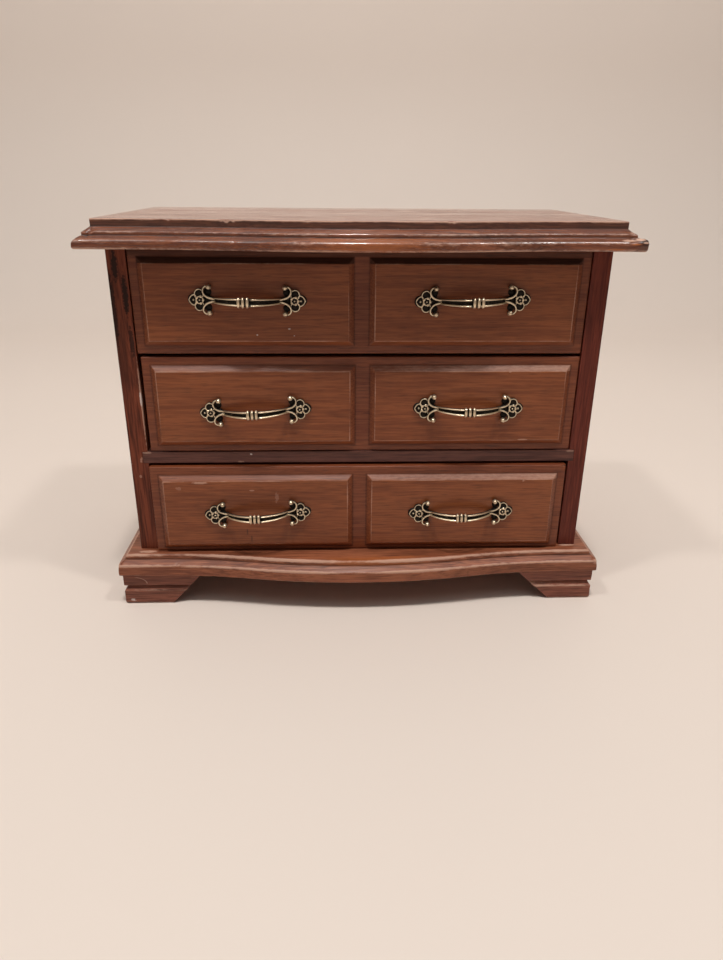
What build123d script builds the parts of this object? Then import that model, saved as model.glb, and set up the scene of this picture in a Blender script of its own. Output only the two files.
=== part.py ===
from build123d import *
import os
from math import atan, atan2, cos, degrees, pi, radians, sin, tan

# Small three-drawer jewelry chest in stained wood with cast brass pulls.
# Millimetres, +Z up, +Y towards the back. The origin is the bottom centre of the whole chest.

os.makedirs("parts", exist_ok=True)

# Case
case_width = 288.5
case_depth = 150.0
side_thickness = 11.0
shelf_thickness = 7.5
dado_depth = 3.2
upper_shelf_thickness = 4.0
back_thickness = 3.0
back_rabbet = 5.0

# Top board: a slab edge above an ovolo above a rounded nose
top_overhang = 14.0
nose_height = 7.1
nose_round = 4.4
nose_under_bevel = 1.0
ovolo_overhang = 9.4
ovolo_height = 4.4
ovolo_round = 4.2
slab_overhang = 5.0
slab_height = 3.2
top_back_overhang = 1.0

# Base board: a small bead above a sloped, square-faced nose
base_overhang = 13.0
base_nose_height = 10.9
base_slope_run = 5.0
base_slope_drop = 3.6
base_bead_overhang = 7.4
base_bead_height = 2.4
base_bead_round = 1.8

# Bowed front, the same on the top and the base
bow_depth = 12.0
bow_inset = 9.0

# Bracket feet
foot_height = 22.0
foot_overhang = 11.0
foot_thickness = 9.0
foot_width = 51.5
foot_toe = 31.5
foot_groove_top = 13.7
foot_groove_floor = 12.9
foot_groove_bottom = 9.8
foot_groove_depth = 2.3
foot_lip_bevel = 0.7
foot_block = 12.0
foot_block_gap = 2.0

# Drawers
upper_front_height = 59.7
middle_front_height = 59.6
lower_front_height = 58.4
front_thickness = 9.0
front_gap = 2.0
head_gap = 0.6
gap_over_lower = 1.6
running_clearance = 0.3
front_edge_bevel = 0.5
field_height = 50.8
field_end_margin = 5.0
field_bevel = 3.4
field_rise = 2.5
field_strip = 8.6
box_side = 6.0
box_top_drop = 8.0
box_lap = 5.5
box_back = 6.0
bottom_thickness = 3.0
bottom_groove = 3.0
bottom_rise = 4.0
bottom_clearance = 0.2
drawer_back_gap = 3.0
lining_thickness = 1.2
lining_clearance = 0.4
shelf_lap = 0.8

# How the drawers of this worn chest stand: gaps at the left and right ends of each front, how far its fields
# sit above the middle of the front, and how far each drawer is left open
upper_end_gaps = (0.4, 0.4)
middle_end_gaps = (1.9, 0.35)
lower_end_gaps = (0.5, 2.0)
upper_field_lift = 0.2
middle_field_lift = -0.5
lower_field_lift = -1.4
upper_ajar = 0.0
middle_ajar = 0.0
lower_ajar = 4.0

# Cast pulls, with their small rounds cut in few sides
pull_centres = 54.0
plate_depth = 1.7
plate_rim = 0.8
rim_width = 0.8
lobe_sides = 8
rosette_sides = 10
rosette_radius = 2.6
rosette_height = 1.5
tip_lobe_radius = 2.9
tip_lobe_reach = 3.4
side_lobe_radius = 2.3
side_lobe_out = 0.9
side_lobe_up = 4.0
neck_width = 4.0
horn_runs = 3
horn_width = 1.3
horn_depth = 3.0
horn_root_in = 6.6
horn_root_up = 1.2
horn_bend_in = 3.7
horn_bend_up = 3.4
horn_tip_in = 2.7
horn_tip_up = 6.7
bead_sides = 6
bead_radius = 1.7
bead_in = 4.3
bead_up = 7.1
bead_depth = 3.6
bar_runs = 8
bar_half_length = 20.5
bar_crest = 9.4
bar_root = 2.4
bar_ridge = 2.1
bar_back_half = 1.4
bar_half_depth = 1.25
bar_groove_floor = 0.4
ring_count = 3
ring_pitch = 2.75
ring_sides = 8
ring_radius = 3.4
ring_half_width = 0.5
ring_foot_radius = 2.9
ring_foot_half_width = 0.95

# How each pull was fitted, left then right: off the middle of its field along X, off the middle of its front
# along Z, and its tilt in degrees
upper_pull_fit = ((0.3, 2.05, -0.6), (-1.7, 2.05, 1.2))
middle_pull_fit = ((0.55, -2.3, 2.2), (-0.7, -1.1, -0.2))
lower_pull_fit = ((0.7, -0.9, 1.6), (-0.4, -1.2, 1.1))

# Fasteners, also cut in few sides
fit_clearance = 0.05
screw_sides = 6
nail_sides = 6
pull_screw_radius = 1.5
pull_screw_head_radius = 3.0
pull_screw_head_height = 1.8
pull_screw_bite = 2.4
dowel_radius = 2.5
dowel_in_top = 8.5
dowel_in_side = 11.0
dowel_end_gap = 0.5
fastener_inset = 34.0
fastener_count = 2
base_screw_radius = 1.6
base_screw_head_radius = 3.3
base_screw_head_angle = 45.0
base_screw_bite = 17.0
base_screw_point = 3.0
base_screw_tip = 0.4
nail_radius = 0.6
nail_head_radius = 1.6
nail_head_height = 0.6
nail_bite = 11.0
nail_inset = 18.0
nail_count = 4

# Heights, stacked from the floor
base_bottom = foot_height
bead_bottom = base_bottom + base_nose_height
base_top = bead_bottom + base_bead_height
lower_front_bottom = base_top + running_clearance
lower_shelf_bottom = lower_front_bottom + lower_front_height + gap_over_lower
lower_shelf_top = lower_shelf_bottom + shelf_thickness
middle_front_bottom = lower_shelf_top + running_clearance
upper_front_bottom = middle_front_bottom + middle_front_height + front_gap
upper_shelf_bottom = upper_front_bottom + shelf_lap
upper_shelf_top = upper_shelf_bottom + upper_shelf_thickness
upper_box_bottom = upper_shelf_top + running_clearance
top_bottom = upper_front_bottom + upper_front_height + head_gap
ovolo_bottom = top_bottom + nose_height
slab_bottom = ovolo_bottom + ovolo_height
side_height = top_bottom - base_top

# Widths and depths
overall_depth = top_overhang + bow_depth + case_depth + top_back_overhang
front_y = top_overhang + bow_depth - overall_depth / 2
back_y = front_y + case_depth
panel_y = back_y - back_thickness
upper_shelf_y = front_y + front_thickness
half_width = case_width / 2
half_inside = half_width - side_thickness
half_shelf = half_inside + dado_depth
half_panel = half_inside + back_rabbet
bow_half_width = half_width - bow_inset
drawer_depth = panel_y - drawer_back_gap - front_y

# Fastener places: dowels and screws down the middle of each side, nails up each rabbet
side_middle = half_width - side_thickness / 2
nail_line = half_panel - back_rabbet / 2
fastener_step = (case_depth - 2 * fastener_inset) / (fastener_count - 1)
fastener_rows = [front_y + fastener_inset + i * fastener_step for i in range(fastener_count)]
fastener_points = [(hand * side_middle, y) for hand in (-1, 1) for y in fastener_rows]
nail_step = (side_height - 2 * nail_inset) / (nail_count - 1)
nail_rows = [base_top + nail_inset + i * nail_step for i in range(nail_count)]
nail_points = [(hand * nail_line, z) for hand in (-1, 1) for z in nail_rows]
pull_ends = [(-pull_centres / 2, 0), (pull_centres / 2, 0)]
screw_flat = cos(pi / screw_sides)
base_screw_head_depth = (
    (base_screw_head_radius - base_screw_radius) * screw_flat / tan(radians(base_screw_head_angle))
)


def finish(part, label):
    """Labels a finished piece and writes it to its own file."""
    part.label = label
    export_step(part, f"parts/{label}.step")


def board(x, y, z, mode=Mode.ADD):
    """A squared board between (low, high) pairs along X, Y and Z."""
    with Locations(((x[0] + x[1]) / 2, (y[0] + y[1]) / 2, (z[0] + z[1]) / 2)):
        Box(x[1] - x[0], y[1] - y[0], z[1] - z[0], mode=mode)


def pegs(plane, points, radius, sides, length, mode=Mode.ADD, taper=0):
    """Few-sided pegs, or holes for them, that start on a plane at the given points."""
    with BuildSketch(plane) as outlines:
        with Locations(points):
            RegularPolygon(radius, sides)
    extrude(to_extrude=outlines.sketch, amount=length, taper=taper, mode=mode)


def bowed_plan(overhang, height):
    """Plan of the case grown by an overhang, with a front that bows out in three tangent arcs."""
    flank = 2 * atan(bow_depth / bow_half_width)
    flank_x = bow_half_width / 2 + overhang * sin(flank)
    flank_y = front_y - bow_depth / 2 - overhang * cos(flank)
    edge_x = half_width + overhang
    edge_y = front_y - overhang
    rear_y = back_y + top_back_overhang
    with BuildSketch(Plane.XY.offset(height)) as plan:
        with BuildLine():
            hollow = TangentArc((-bow_half_width, edge_y), (-flank_x, flank_y), tangent=(1, 0))
            swell = TangentArc((-flank_x, flank_y), (flank_x, flank_y), tangent=hollow % 1)
            TangentArc((flank_x, flank_y), (bow_half_width, edge_y), tangent=swell % 1)
            Polyline(
                (bow_half_width, edge_y),
                (edge_x, edge_y),
                (edge_x, rear_y),
                (-edge_x, rear_y),
                (-edge_x, edge_y),
                (-bow_half_width, edge_y),
            )
        make_face()
    return plan.sketch


def moulded_edges(face):
    """The edges of a bowed plan that are moulded: all but the back one."""
    return face.edges().sort_by(Axis.Y)[:-1]


# Top board: three tiers, as successive router passes leave them
with BuildPart() as top_board:
    extrude(to_extrude=bowed_plan(top_overhang, top_bottom), amount=nose_height)
    fillet(moulded_edges(top_board.faces().sort_by(Axis.Z)[-1]), nose_round)
    chamfer(moulded_edges(top_board.faces().sort_by(Axis.Z)[0]), nose_under_bevel)
    extrude(to_extrude=bowed_plan(ovolo_overhang, ovolo_bottom), amount=ovolo_height)
    fillet(moulded_edges(top_board.faces().sort_by(Axis.Z)[-1]), ovolo_round)
    extrude(to_extrude=bowed_plan(slab_overhang, slab_bottom), amount=slab_height)
    pegs(
        Plane.XY.offset(top_bottom),
        fastener_points,
        dowel_radius + fit_clearance,
        screw_sides,
        dowel_in_top + dowel_end_gap,
        Mode.SUBTRACT,
    )
finish(top_board.part, "top_board")

# Base board: a sloped nose with a square face, a bead on top of it, and countersunk screw holes
with BuildPart() as base_board:
    extrude(to_extrude=bowed_plan(base_overhang, base_bottom), amount=base_nose_height)
    nose_top = base_board.faces().sort_by(Axis.Z)[-1]
    chamfer(moulded_edges(nose_top), length=base_slope_run, length2=base_slope_drop, reference=nose_top)
    extrude(to_extrude=bowed_plan(base_bead_overhang, bead_bottom), amount=base_bead_height)
    fillet(moulded_edges(base_board.faces().sort_by(Axis.Z)[-1]), base_bead_round)
    for radius, length, taper in (
        (base_screw_radius, base_top - base_bottom, 0),
        (base_screw_head_radius, base_screw_head_depth, base_screw_head_angle),
    ):
        pegs(
            Plane.XY.offset(base_bottom),
            fastener_points,
            radius + fit_clearance,
            screw_sides,
            length,
            Mode.SUBTRACT,
            taper,
        )
finish(base_board.part, "base_board")

# Case sides: dados for the two shelves, a rabbet for the back, and holes for dowels, screws and nails
for hand, label in ((-1, "left_side"), (1, "right_side")):
    with BuildPart() as case_side:
        board(sorted((hand * half_inside, hand * half_width)), (front_y, back_y), (base_top, top_bottom))
        dado = sorted((hand * half_inside, hand * half_shelf))
        rabbet = sorted((hand * half_inside, hand * half_panel))
        board(dado, (front_y, back_y), (lower_shelf_bottom, lower_shelf_top), Mode.SUBTRACT)
        board(dado, (upper_shelf_y, back_y), (upper_shelf_bottom, upper_shelf_top), Mode.SUBTRACT)
        board(rabbet, (panel_y, back_y), (base_top, top_bottom), Mode.SUBTRACT)
        side_points = [(hand * side_middle, y) for y in fastener_rows]
        pegs(
            Plane.XY.offset(top_bottom),
            side_points,
            dowel_radius + fit_clearance,
            screw_sides,
            -dowel_in_side - dowel_end_gap,
            Mode.SUBTRACT,
        )
        pegs(
            Plane.XY.offset(base_top),
            side_points,
            base_screw_radius + fit_clearance,
            screw_sides,
            base_screw_bite + fit_clearance,
            Mode.SUBTRACT,
        )
        pegs(
            Plane.XZ.offset(-panel_y),
            [(hand * nail_line, z) for z in nail_rows],
            nail_radius + fit_clearance,
            nail_sides,
            nail_bite + fit_clearance,
            Mode.SUBTRACT,
        )
    finish(case_side.part, label)

# Lower shelf: its front edge is the rail under the middle drawer
with BuildPart() as lower_shelf:
    board((-half_shelf, half_shelf), (front_y, panel_y), (lower_shelf_bottom, lower_shelf_top))
finish(lower_shelf.part, "lower_shelf")

# Upper shelf: a thin panel behind the upper drawer's front
with BuildPart() as upper_shelf:
    board(
        (-half_shelf, half_shelf),
        (upper_shelf_y + running_clearance, panel_y),
        (upper_shelf_bottom, upper_shelf_top),
    )
finish(upper_shelf.part, "upper_shelf")

# Back panel in the rear rabbets
with BuildPart() as back_panel:
    board((-half_panel, half_panel), (panel_y, back_y), (base_top, top_bottom))
    pegs(
        Plane.XZ.offset(-back_y),
        nail_points,
        nail_radius + fit_clearance,
        nail_sides,
        back_thickness,
        Mode.SUBTRACT,
    )
finish(back_panel.part, "back_panel")


def foot_bracket(label, corner, run, inward, start, mitred):
    """One bracket of a foot: a strip along run from a corner of the feet, cut on a slant at its toe.

    A strip that shows is grooved and begins at the corner, where it may be mitred.
    A strip with a start begins that far along, is cut square and is left plain.
    """
    run = Vector(*run)
    inward = Vector(*inward)
    up = 1 if run.cross(inward).Z > 0 else -1
    strip = Plane(origin=Vector(*corner) + run * start, x_dir=inward, z_dir=run)
    toe = Vector(*corner) + run * foot_toe
    slant = Vector(0, 0, foot_height) + run * (foot_width - foot_toe)
    with BuildPart() as bracket:
        with BuildSketch(strip):
            with BuildLine():
                Polyline(
                    (0, 0),
                    (foot_thickness, 0),
                    (foot_thickness, up * foot_height),
                    (0, up * foot_height),
                    close=True,
                )
            make_face()
            if not start:
                with BuildLine():
                    Polyline(
                        (0, up * foot_groove_top),
                        (foot_groove_depth, up * foot_groove_floor),
                        (0, up * foot_groove_bottom),
                        close=True,
                    )
                make_face(mode=Mode.SUBTRACT)
                face_corners = vertices().group_by(Axis.X)[0]
                chamfer(face_corners.sort_by(lambda corner: up * corner.Y)[:-1], foot_lip_bevel)
        extrude(amount=foot_width - start)
        split(bisect_by=Plane(origin=toe, z_dir=slant.cross(inward) * up), keep=Keep.TOP)
        if mitred:
            split(bisect_by=Plane(origin=corner, z_dir=run - inward), keep=Keep.TOP)
    finish(bracket.part, label)


foot_x = half_width + foot_overhang
foot_front_y = front_y - foot_overhang
for hand, name in ((-1, "left"), (1, "right")):
    across = (-hand, 0, 0)
    front_corner = (hand * foot_x, foot_front_y, 0)
    rear_corner = (hand * foot_x, back_y, 0)
    foot_bracket(f"front_{name}_foot_front", front_corner, across, (0, 1, 0), 0, mitred=True)
    foot_bracket(f"front_{name}_foot_side", front_corner, (0, 1, 0), across, 0, mitred=True)
    foot_bracket(f"rear_{name}_foot_side", rear_corner, (0, -1, 0), across, 0, mitred=False)
    foot_bracket(f"rear_{name}_foot_back", rear_corner, across, (0, -1, 0), foot_thickness, mitred=False)

# Glue blocks in the corners of the feet
with BuildPart() as foot_blocks:
    block_x = foot_x - foot_thickness
    for hand in (-1, 1):
        for corner_y, inward_y in ((foot_front_y + foot_thickness, 1), (back_y - foot_thickness, -1)):
            with BuildSketch(Plane.XY.offset(foot_block_gap)):
                with BuildLine():
                    Polyline(
                        (hand * block_x, corner_y),
                        (hand * (block_x - foot_block), corner_y),
                        (hand * block_x, corner_y + inward_y * foot_block),
                        close=True,
                    )
                make_face()
            extrude(amount=foot_height - foot_block_gap)
finish(foot_blocks.part, "foot_blocks")

# Dowels between the sides and the top
with BuildPart() as top_dowels:
    pegs(
        Plane.XY.offset(top_bottom - dowel_in_side),
        fastener_points,
        dowel_radius,
        screw_sides,
        dowel_in_side + dowel_in_top,
    )
finish(top_dowels.part, "top_dowels")

# Countersunk screws up through the base into the sides: head, shank and point
with BuildPart() as base_screws:
    shank_top = base_top + base_screw_bite - base_screw_point
    point_taper = degrees(atan((base_screw_radius - base_screw_tip) * screw_flat / base_screw_point))
    for bottom, top, radius, taper in (
        (base_bottom, base_bottom + base_screw_head_depth, base_screw_head_radius, base_screw_head_angle),
        (base_bottom + base_screw_head_depth, shank_top, base_screw_radius, 0),
        (shank_top, base_top + base_screw_bite, base_screw_radius, point_taper),
    ):
        pegs(Plane.XY.offset(bottom), fastener_points, radius, screw_sides, top - bottom, taper=taper)
finish(base_screws.part, "base_screws")

# Wire nails through the back panel
with BuildPart() as back_nails:
    pegs(Plane.XZ.offset(-back_y), nail_points, nail_head_radius, nail_sides, -nail_head_height)
    pegs(Plane.XZ.offset(-back_y), nail_points, nail_radius, nail_sides, back_thickness + nail_bite)
finish(back_nails.part, "back_nails")


def make_pull(label, seat):
    """A one-piece cast pull on a seat plane: X along the pull, Y up and Z out of the drawer front."""
    half_span = pull_centres / 2
    crest = seat.offset(bar_crest).origin
    bow_plane = Plane(origin=seat.origin, x_dir=seat.x_dir, z_dir=-seat.y_dir)
    bow = ThreePointArc((-bar_half_length, bar_root), (0, bar_crest), (bar_half_length, bar_root))
    bar_points = [bow_plane.from_local_coords(bow @ (i / bar_runs)) for i in range(bar_runs + 1)]
    lobes = [
        (side * (half_span + out), up, radius)
        for side in (-1, 1)
        for out, up, radius in (
            (tip_lobe_reach, 0, tip_lobe_radius),
            (side_lobe_out, side_lobe_up, side_lobe_radius),
            (side_lobe_out, -side_lobe_up, side_lobe_radius),
        )
    ]
    beads = [(side * (half_span - bead_in), up * bead_up) for side in (-1, 1) for up in (-1, 1)]
    with BuildPart() as pull:
        # Three-lobed end plates with a neck to the bar
        with BuildSketch(seat):
            for along, up, radius in lobes:
                with Locations((along, up)):
                    RegularPolygon(radius, lobe_sides)
            with Locations(pull_ends):
                RegularPolygon(rosette_radius, rosette_sides)
            for side in (-1, 1):
                with Locations((side * (half_span - horn_root_in / 2), 0)):
                    Rectangle(horn_root_in, neck_width)
        extrude(amount=plate_depth)
        # Raised rims round the lobes
        with BuildSketch(seat.offset(plate_depth)):
            for along, up, radius in lobes:
                with Locations((along, up)):
                    RegularPolygon(radius, lobe_sides)
                    RegularPolygon(radius - rim_width, lobe_sides, mode=Mode.SUBTRACT)
        extrude(amount=plate_rim)
        # Horns that curl away from the bar to a bead
        with BuildSketch(seat):
            for side in (-1, 1):
                for up in (-1, 1):
                    with BuildLine() as horn:
                        curl = ThreePointArc(
                            (side * (half_span - horn_root_in), up * horn_root_up),
                            (side * (half_span - horn_bend_in), up * horn_bend_up),
                            (side * (half_span - horn_tip_in), up * horn_tip_up),
                            mode=Mode.PRIVATE,
                        )
                        Polyline([curl @ (i / horn_runs) for i in range(horn_runs + 1)])
                    trace(horn.edges(), line_width=horn_width)
        extrude(amount=horn_depth)
        pegs(seat, beads, bead_radius, bead_sides, bead_depth)
        # Rosettes over the screws
        pegs(seat.offset(plate_depth), pull_ends, rosette_radius, rosette_sides, rosette_height)
        # Bowed bar with a groove between two ridges
        with BuildLine():
            bar_line = Polyline(bar_points)
        with BuildSketch(Plane(origin=bar_line @ 0, x_dir=seat.y_dir, z_dir=bar_line % 0)):
            with BuildLine():
                Polyline(
                    (-bar_back_half, -bar_half_depth),
                    (bar_back_half, -bar_half_depth),
                    (bar_ridge, bar_half_depth),
                    (0, bar_groove_floor),
                    (-bar_ridge, bar_half_depth),
                    close=True,
                )
            make_face()
        sweep(transition=Transition.RIGHT)
        # Stepped rings at the middle of the bar
        for i in range(ring_count):
            ring_centre = crest + seat.x_dir * ((i - (ring_count - 1) / 2) * ring_pitch)
            ring_plane = Plane(origin=ring_centre, x_dir=seat.y_dir, z_dir=seat.x_dir)
            for radius, half_width in (
                (ring_radius, ring_half_width),
                (ring_foot_radius, ring_foot_half_width),
            ):
                with BuildSketch(ring_plane):
                    RegularPolygon(radius, ring_sides)
                extrude(amount=half_width, both=True)
        # Sockets for the screws
        pegs(
            seat,
            pull_ends,
            pull_screw_radius + fit_clearance,
            screw_sides,
            pull_screw_bite + fit_clearance,
            Mode.SUBTRACT,
        )
    finish(pull.part, label)


def make_drawer(name, front_bottom, front_height, box_bottom, end_gaps, field_lift, ajar, pull_fit):
    """All the pieces of one drawer, closed or standing ajar, with its two pulls and their screws."""
    face_y = front_y - ajar
    inner_y = face_y + front_thickness
    end_y = face_y + drawer_depth
    lap_y = inner_y - box_lap
    low_x = end_gaps[0] - half_inside
    high_x = half_inside - end_gaps[1]
    field_width = (high_x - low_x - field_strip) / 2 - field_end_margin
    left_field = low_x + field_end_margin + field_width / 2
    right_field = high_x - field_end_margin - field_width / 2
    front_top = front_bottom + front_height
    front_middle = front_bottom + front_height / 2
    box_top = front_top - box_top_drop
    floor = box_bottom + bottom_rise
    floor_top = floor + bottom_thickness
    tray = (low_x + box_side - bottom_groove, high_x - box_side + bottom_groove)
    seats = []
    for field_middle, (slip, rise, tilt) in zip((left_field, right_field), pull_fit):
        seat_origin = (field_middle + slip, face_y - field_rise, front_middle + rise)
        along = (cos(radians(tilt)), 0, sin(radians(tilt)))
        seats.append(Plane(origin=seat_origin, x_dir=along, z_dir=(0, -1, 0)))

    # Front: raised fields with bevelled edges, laps for the sides and a groove for the bottom
    with BuildPart() as front:
        board((low_x, high_x), (face_y, inner_y), (front_bottom, front_top))
        chamfer(front.faces().sort_by(Axis.Y)[0].edges(), front_edge_bevel)
        with BuildSketch(Plane.XZ.offset(-face_y)):
            with Locations(*((middle, front_middle + field_lift) for middle in (left_field, right_field))):
                Rectangle(field_width, field_height)
        extrude(amount=field_rise, taper=degrees(atan2(field_bevel, field_rise)))
        for lap in ((low_x, low_x + box_side), (high_x - box_side, high_x)):
            board(lap, (lap_y, inner_y), (box_bottom, box_top), Mode.SUBTRACT)
        board(tray, (inner_y - bottom_groove, inner_y), (floor, floor_top), Mode.SUBTRACT)
        for seat in seats:
            pegs(
                seat,
                pull_ends,
                pull_screw_radius + fit_clearance,
                screw_sides,
                -field_rise - front_thickness,
                Mode.SUBTRACT,
            )
    finish(front.part, f"{name}_drawer_front")

    # Sides, set into the front's laps, with a groove for the bottom
    for label, outer, inner in (("left", low_x, low_x + box_side), ("right", high_x, high_x - box_side)):
        groove = sorted((inner, inner + (bottom_groove if outer > inner else -bottom_groove)))
        with BuildPart() as box_wall:
            board(sorted((outer, inner)), (lap_y, end_y), (box_bottom, box_top))
            board(groove, (lap_y, end_y), (floor, floor_top), Mode.SUBTRACT)
        finish(box_wall.part, f"{name}_drawer_{label}_side")

    # Back, between the sides and on the bottom
    with BuildPart() as back:
        board((low_x + box_side, high_x - box_side), (end_y - box_back, end_y), (floor_top, box_top))
    finish(back.part, f"{name}_drawer_back")

    # Bottom, in the grooves
    with BuildPart() as bottom:
        board(
            (tray[0] + bottom_clearance, tray[1] - bottom_clearance),
            (inner_y - bottom_groove + bottom_clearance, end_y),
            (floor, floor_top),
        )
    finish(bottom.part, f"{name}_drawer_bottom")

    # Felt lining laid on the bottom
    with BuildPart() as lining:
        board(
            (low_x + box_side + lining_clearance, high_x - box_side - lining_clearance),
            (inner_y + lining_clearance, end_y - box_back - lining_clearance),
            (floor_top, floor_top + lining_thickness),
        )
    finish(lining.part, f"{name}_drawer_lining")

    # Pulls and the screws that hold them from inside the drawer
    for label, seat in zip(("left", "right"), seats):
        make_pull(f"{name}_{label}_pull", seat)
    with BuildPart() as pull_screws:
        for seat in seats:
            inside = seat.offset(-field_rise - front_thickness)
            shank_length = front_thickness + field_rise + pull_screw_bite
            pegs(inside, pull_ends, pull_screw_head_radius, screw_sides, -pull_screw_head_height)
            pegs(inside, pull_ends, pull_screw_radius, screw_sides, shank_length)
    finish(pull_screws.part, f"{name}_pull_screws")


make_drawer(
    "upper",
    upper_front_bottom,
    upper_front_height,
    upper_box_bottom,
    upper_end_gaps,
    upper_field_lift,
    upper_ajar,
    upper_pull_fit,
)
make_drawer(
    "middle",
    middle_front_bottom,
    middle_front_height,
    middle_front_bottom,
    middle_end_gaps,
    middle_field_lift,
    middle_ajar,
    middle_pull_fit,
)
make_drawer(
    "lower",
    lower_front_bottom,
    lower_front_height,
    lower_front_bottom,
    lower_end_gaps,
    lower_field_lift,
    lower_ajar,
    lower_pull_fit,
)
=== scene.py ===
"""Dresses a small three-drawer jewelry chest: moulded boards, fronts, feet, cast pulls, felt and finishes."""

import bpy
import numpy as np
from mathutils import Matrix, Vector


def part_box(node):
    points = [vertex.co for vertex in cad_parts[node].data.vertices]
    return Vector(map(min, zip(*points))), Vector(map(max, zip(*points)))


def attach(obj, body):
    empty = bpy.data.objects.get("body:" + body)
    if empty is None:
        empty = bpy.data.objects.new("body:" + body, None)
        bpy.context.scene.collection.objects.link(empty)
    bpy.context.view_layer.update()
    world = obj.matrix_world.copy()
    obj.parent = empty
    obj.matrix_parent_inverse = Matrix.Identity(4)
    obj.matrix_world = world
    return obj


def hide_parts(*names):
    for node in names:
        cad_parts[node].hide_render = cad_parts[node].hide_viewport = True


bl_info = {
    "name": "Three-drawer jewelry chest",
    "version": (1, 1, 0),
    "blender": (4, 5, 0),
    "location": "View3D > Sidebar > Chest",
    "description": "Builds the visible pieces of a small jewelry chest on its packed frame",
    "category": "Object",
}

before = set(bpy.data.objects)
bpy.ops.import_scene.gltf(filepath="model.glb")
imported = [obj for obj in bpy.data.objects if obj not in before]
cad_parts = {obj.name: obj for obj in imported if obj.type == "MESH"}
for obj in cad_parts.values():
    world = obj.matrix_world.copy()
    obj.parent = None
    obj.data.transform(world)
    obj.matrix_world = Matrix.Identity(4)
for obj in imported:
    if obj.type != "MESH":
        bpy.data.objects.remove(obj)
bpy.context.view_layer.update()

HANDS = (("left", -1), ("right", 1))
DRAWERS = ("upper", "middle", "lower")
RIGHT_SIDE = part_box("right_side")
TOP_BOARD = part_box("top_board")
BASE_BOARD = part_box("base_board")
HALF_WIDTH = RIGHT_SIDE[1].x
HALF_INSIDE = RIGHT_SIDE[0].x
FRONT_Y = RIGHT_SIDE[0].y
BACK_Y = RIGHT_SIDE[1].y
REAR_Y = TOP_BOARD[1].y
# Where the random draws of each piece's waves start
SEEDS = {"top": 11, "base": 23, "fronts": 40, "linings": 70, "feet": 90}


# Settings

def length(name, description, default):
    """A size in metres."""
    return bpy.props.FloatProperty(
        name=name, description=description, default=default, unit="LENGTH", precision=5
    )


def power(name, description, default):
    """A lamp's power in watts."""
    return bpy.props.FloatProperty(name=name, description=description, default=default, unit="POWER")


def srgb(*levels):
    """A linear colour from screen levels of 0 to 255."""
    parts = np.array(levels) / 255
    return tuple(np.where(parts > 0.04045, ((parts + 0.055) / 1.055) ** 2.4, parts / 12.92).tolist())


def colour(name, description, *levels):
    """A colour, given in screen levels of 0 to 255."""
    return bpy.props.FloatVectorProperty(
        name=name, description=description, default=srgb(*levels), subtype="COLOR", size=3, min=0, max=1
    )


class ChestMouldings(bpy.types.PropertyGroup):
    """Sizes of the bowed, moulded top and base boards."""

    bow_depth: length("Bow depth", "How far the front bows out at its middle", 0.012)
    bow_inset: length("Bow inset", "Straight run at each end of the bowed front", 0.009)
    top_nose: length("Top nose", "Height of the top's lowest, widest tier", 0.0071)
    top_nose_face: length("Top nose face", "Height of the upright face of the top's nose", 0.0047)
    top_nose_round: length("Top nose round", "Radius over the top's nose", 0.003)
    top_foot_round: length("Top foot round", "Radius under the top's nose", 0.0013)
    ovolo_overhang: length("Ovolo overhang", "How far the middle tier stands out", 0.0094)
    ovolo_height: length("Ovolo height", "Height of the middle tier", 0.0044)
    ovolo_face: length("Ovolo face", "Height of the upright face of the middle tier", 0.0018)
    ovolo_round: length("Ovolo round", "Radius over the middle tier", 0.0012)
    slab_overhang: length("Slab overhang", "How far the top slab stands out", 0.005)
    slab_height: length("Slab height", "Height of the top slab", 0.004)
    slab_round: length("Slab round", "Worn radius of the slab's upper edge", 0.0005)
    base_face: length("Base face", "Height of the base's upright face", 0.0073)
    base_face_round: length("Base face round", "Worn radius over the base's upright face", 0.0012)
    base_slope: length("Base slope", "How far the base's slope runs in", 0.0041)
    base_nose: length("Base nose", "Height of the base up to the top of its slope", 0.0099)
    bead_overhang: length("Bead overhang", "How far the base's bead stands out", 0.0085)
    bead_round: length("Bead round", "Radius over the base's bead", 0.0019)
    crease: length("Crease", "Radius in the inner corners between tiers", 0.0002)
    waviness: length("Waviness", "How far hand-worn faces wander", 0.00003)
    chip_depth: length("Chip depth", "Depth of the deepest edge chips", 0.0012)


class ChestFronts(bpy.types.PropertyGroup):
    """Sizes of the drawer fronts and their raised fields."""

    end_margin: length("End margin", "Flat margin at the ends of a front", 0.005)
    strip: length("Strip", "Flat strip between the two fields", 0.0086)
    field_height: length("Field height", "Height of a field over its bevels", 0.0508)
    upper_lift: length("Upper lift", "How far the upper fields sit above their front's middle", 0.0002)
    middle_lift: length("Middle lift", "How far the middle fields sit above their front's middle", -0.0005)
    lower_lift: length("Lower lift", "How far the lower fields sit above their front's middle", -0.0014)
    bevel: length("Bevel", "Width of the bevel round a field", 0.0034)
    rise: length("Rise", "How far a field stands out", 0.0032)
    softness: length("Softness", "Worn rounding of a field's edges", 0.0002)
    edge_round: length("Edge round", "Worn radius of the front's outer edges", 0.0006)
    end_gap: length("End gap", "How far the ends stand back from the box sides", 0.00012)
    waviness: length("Waviness", "How far the worn faces wander", 0.00003)


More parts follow.
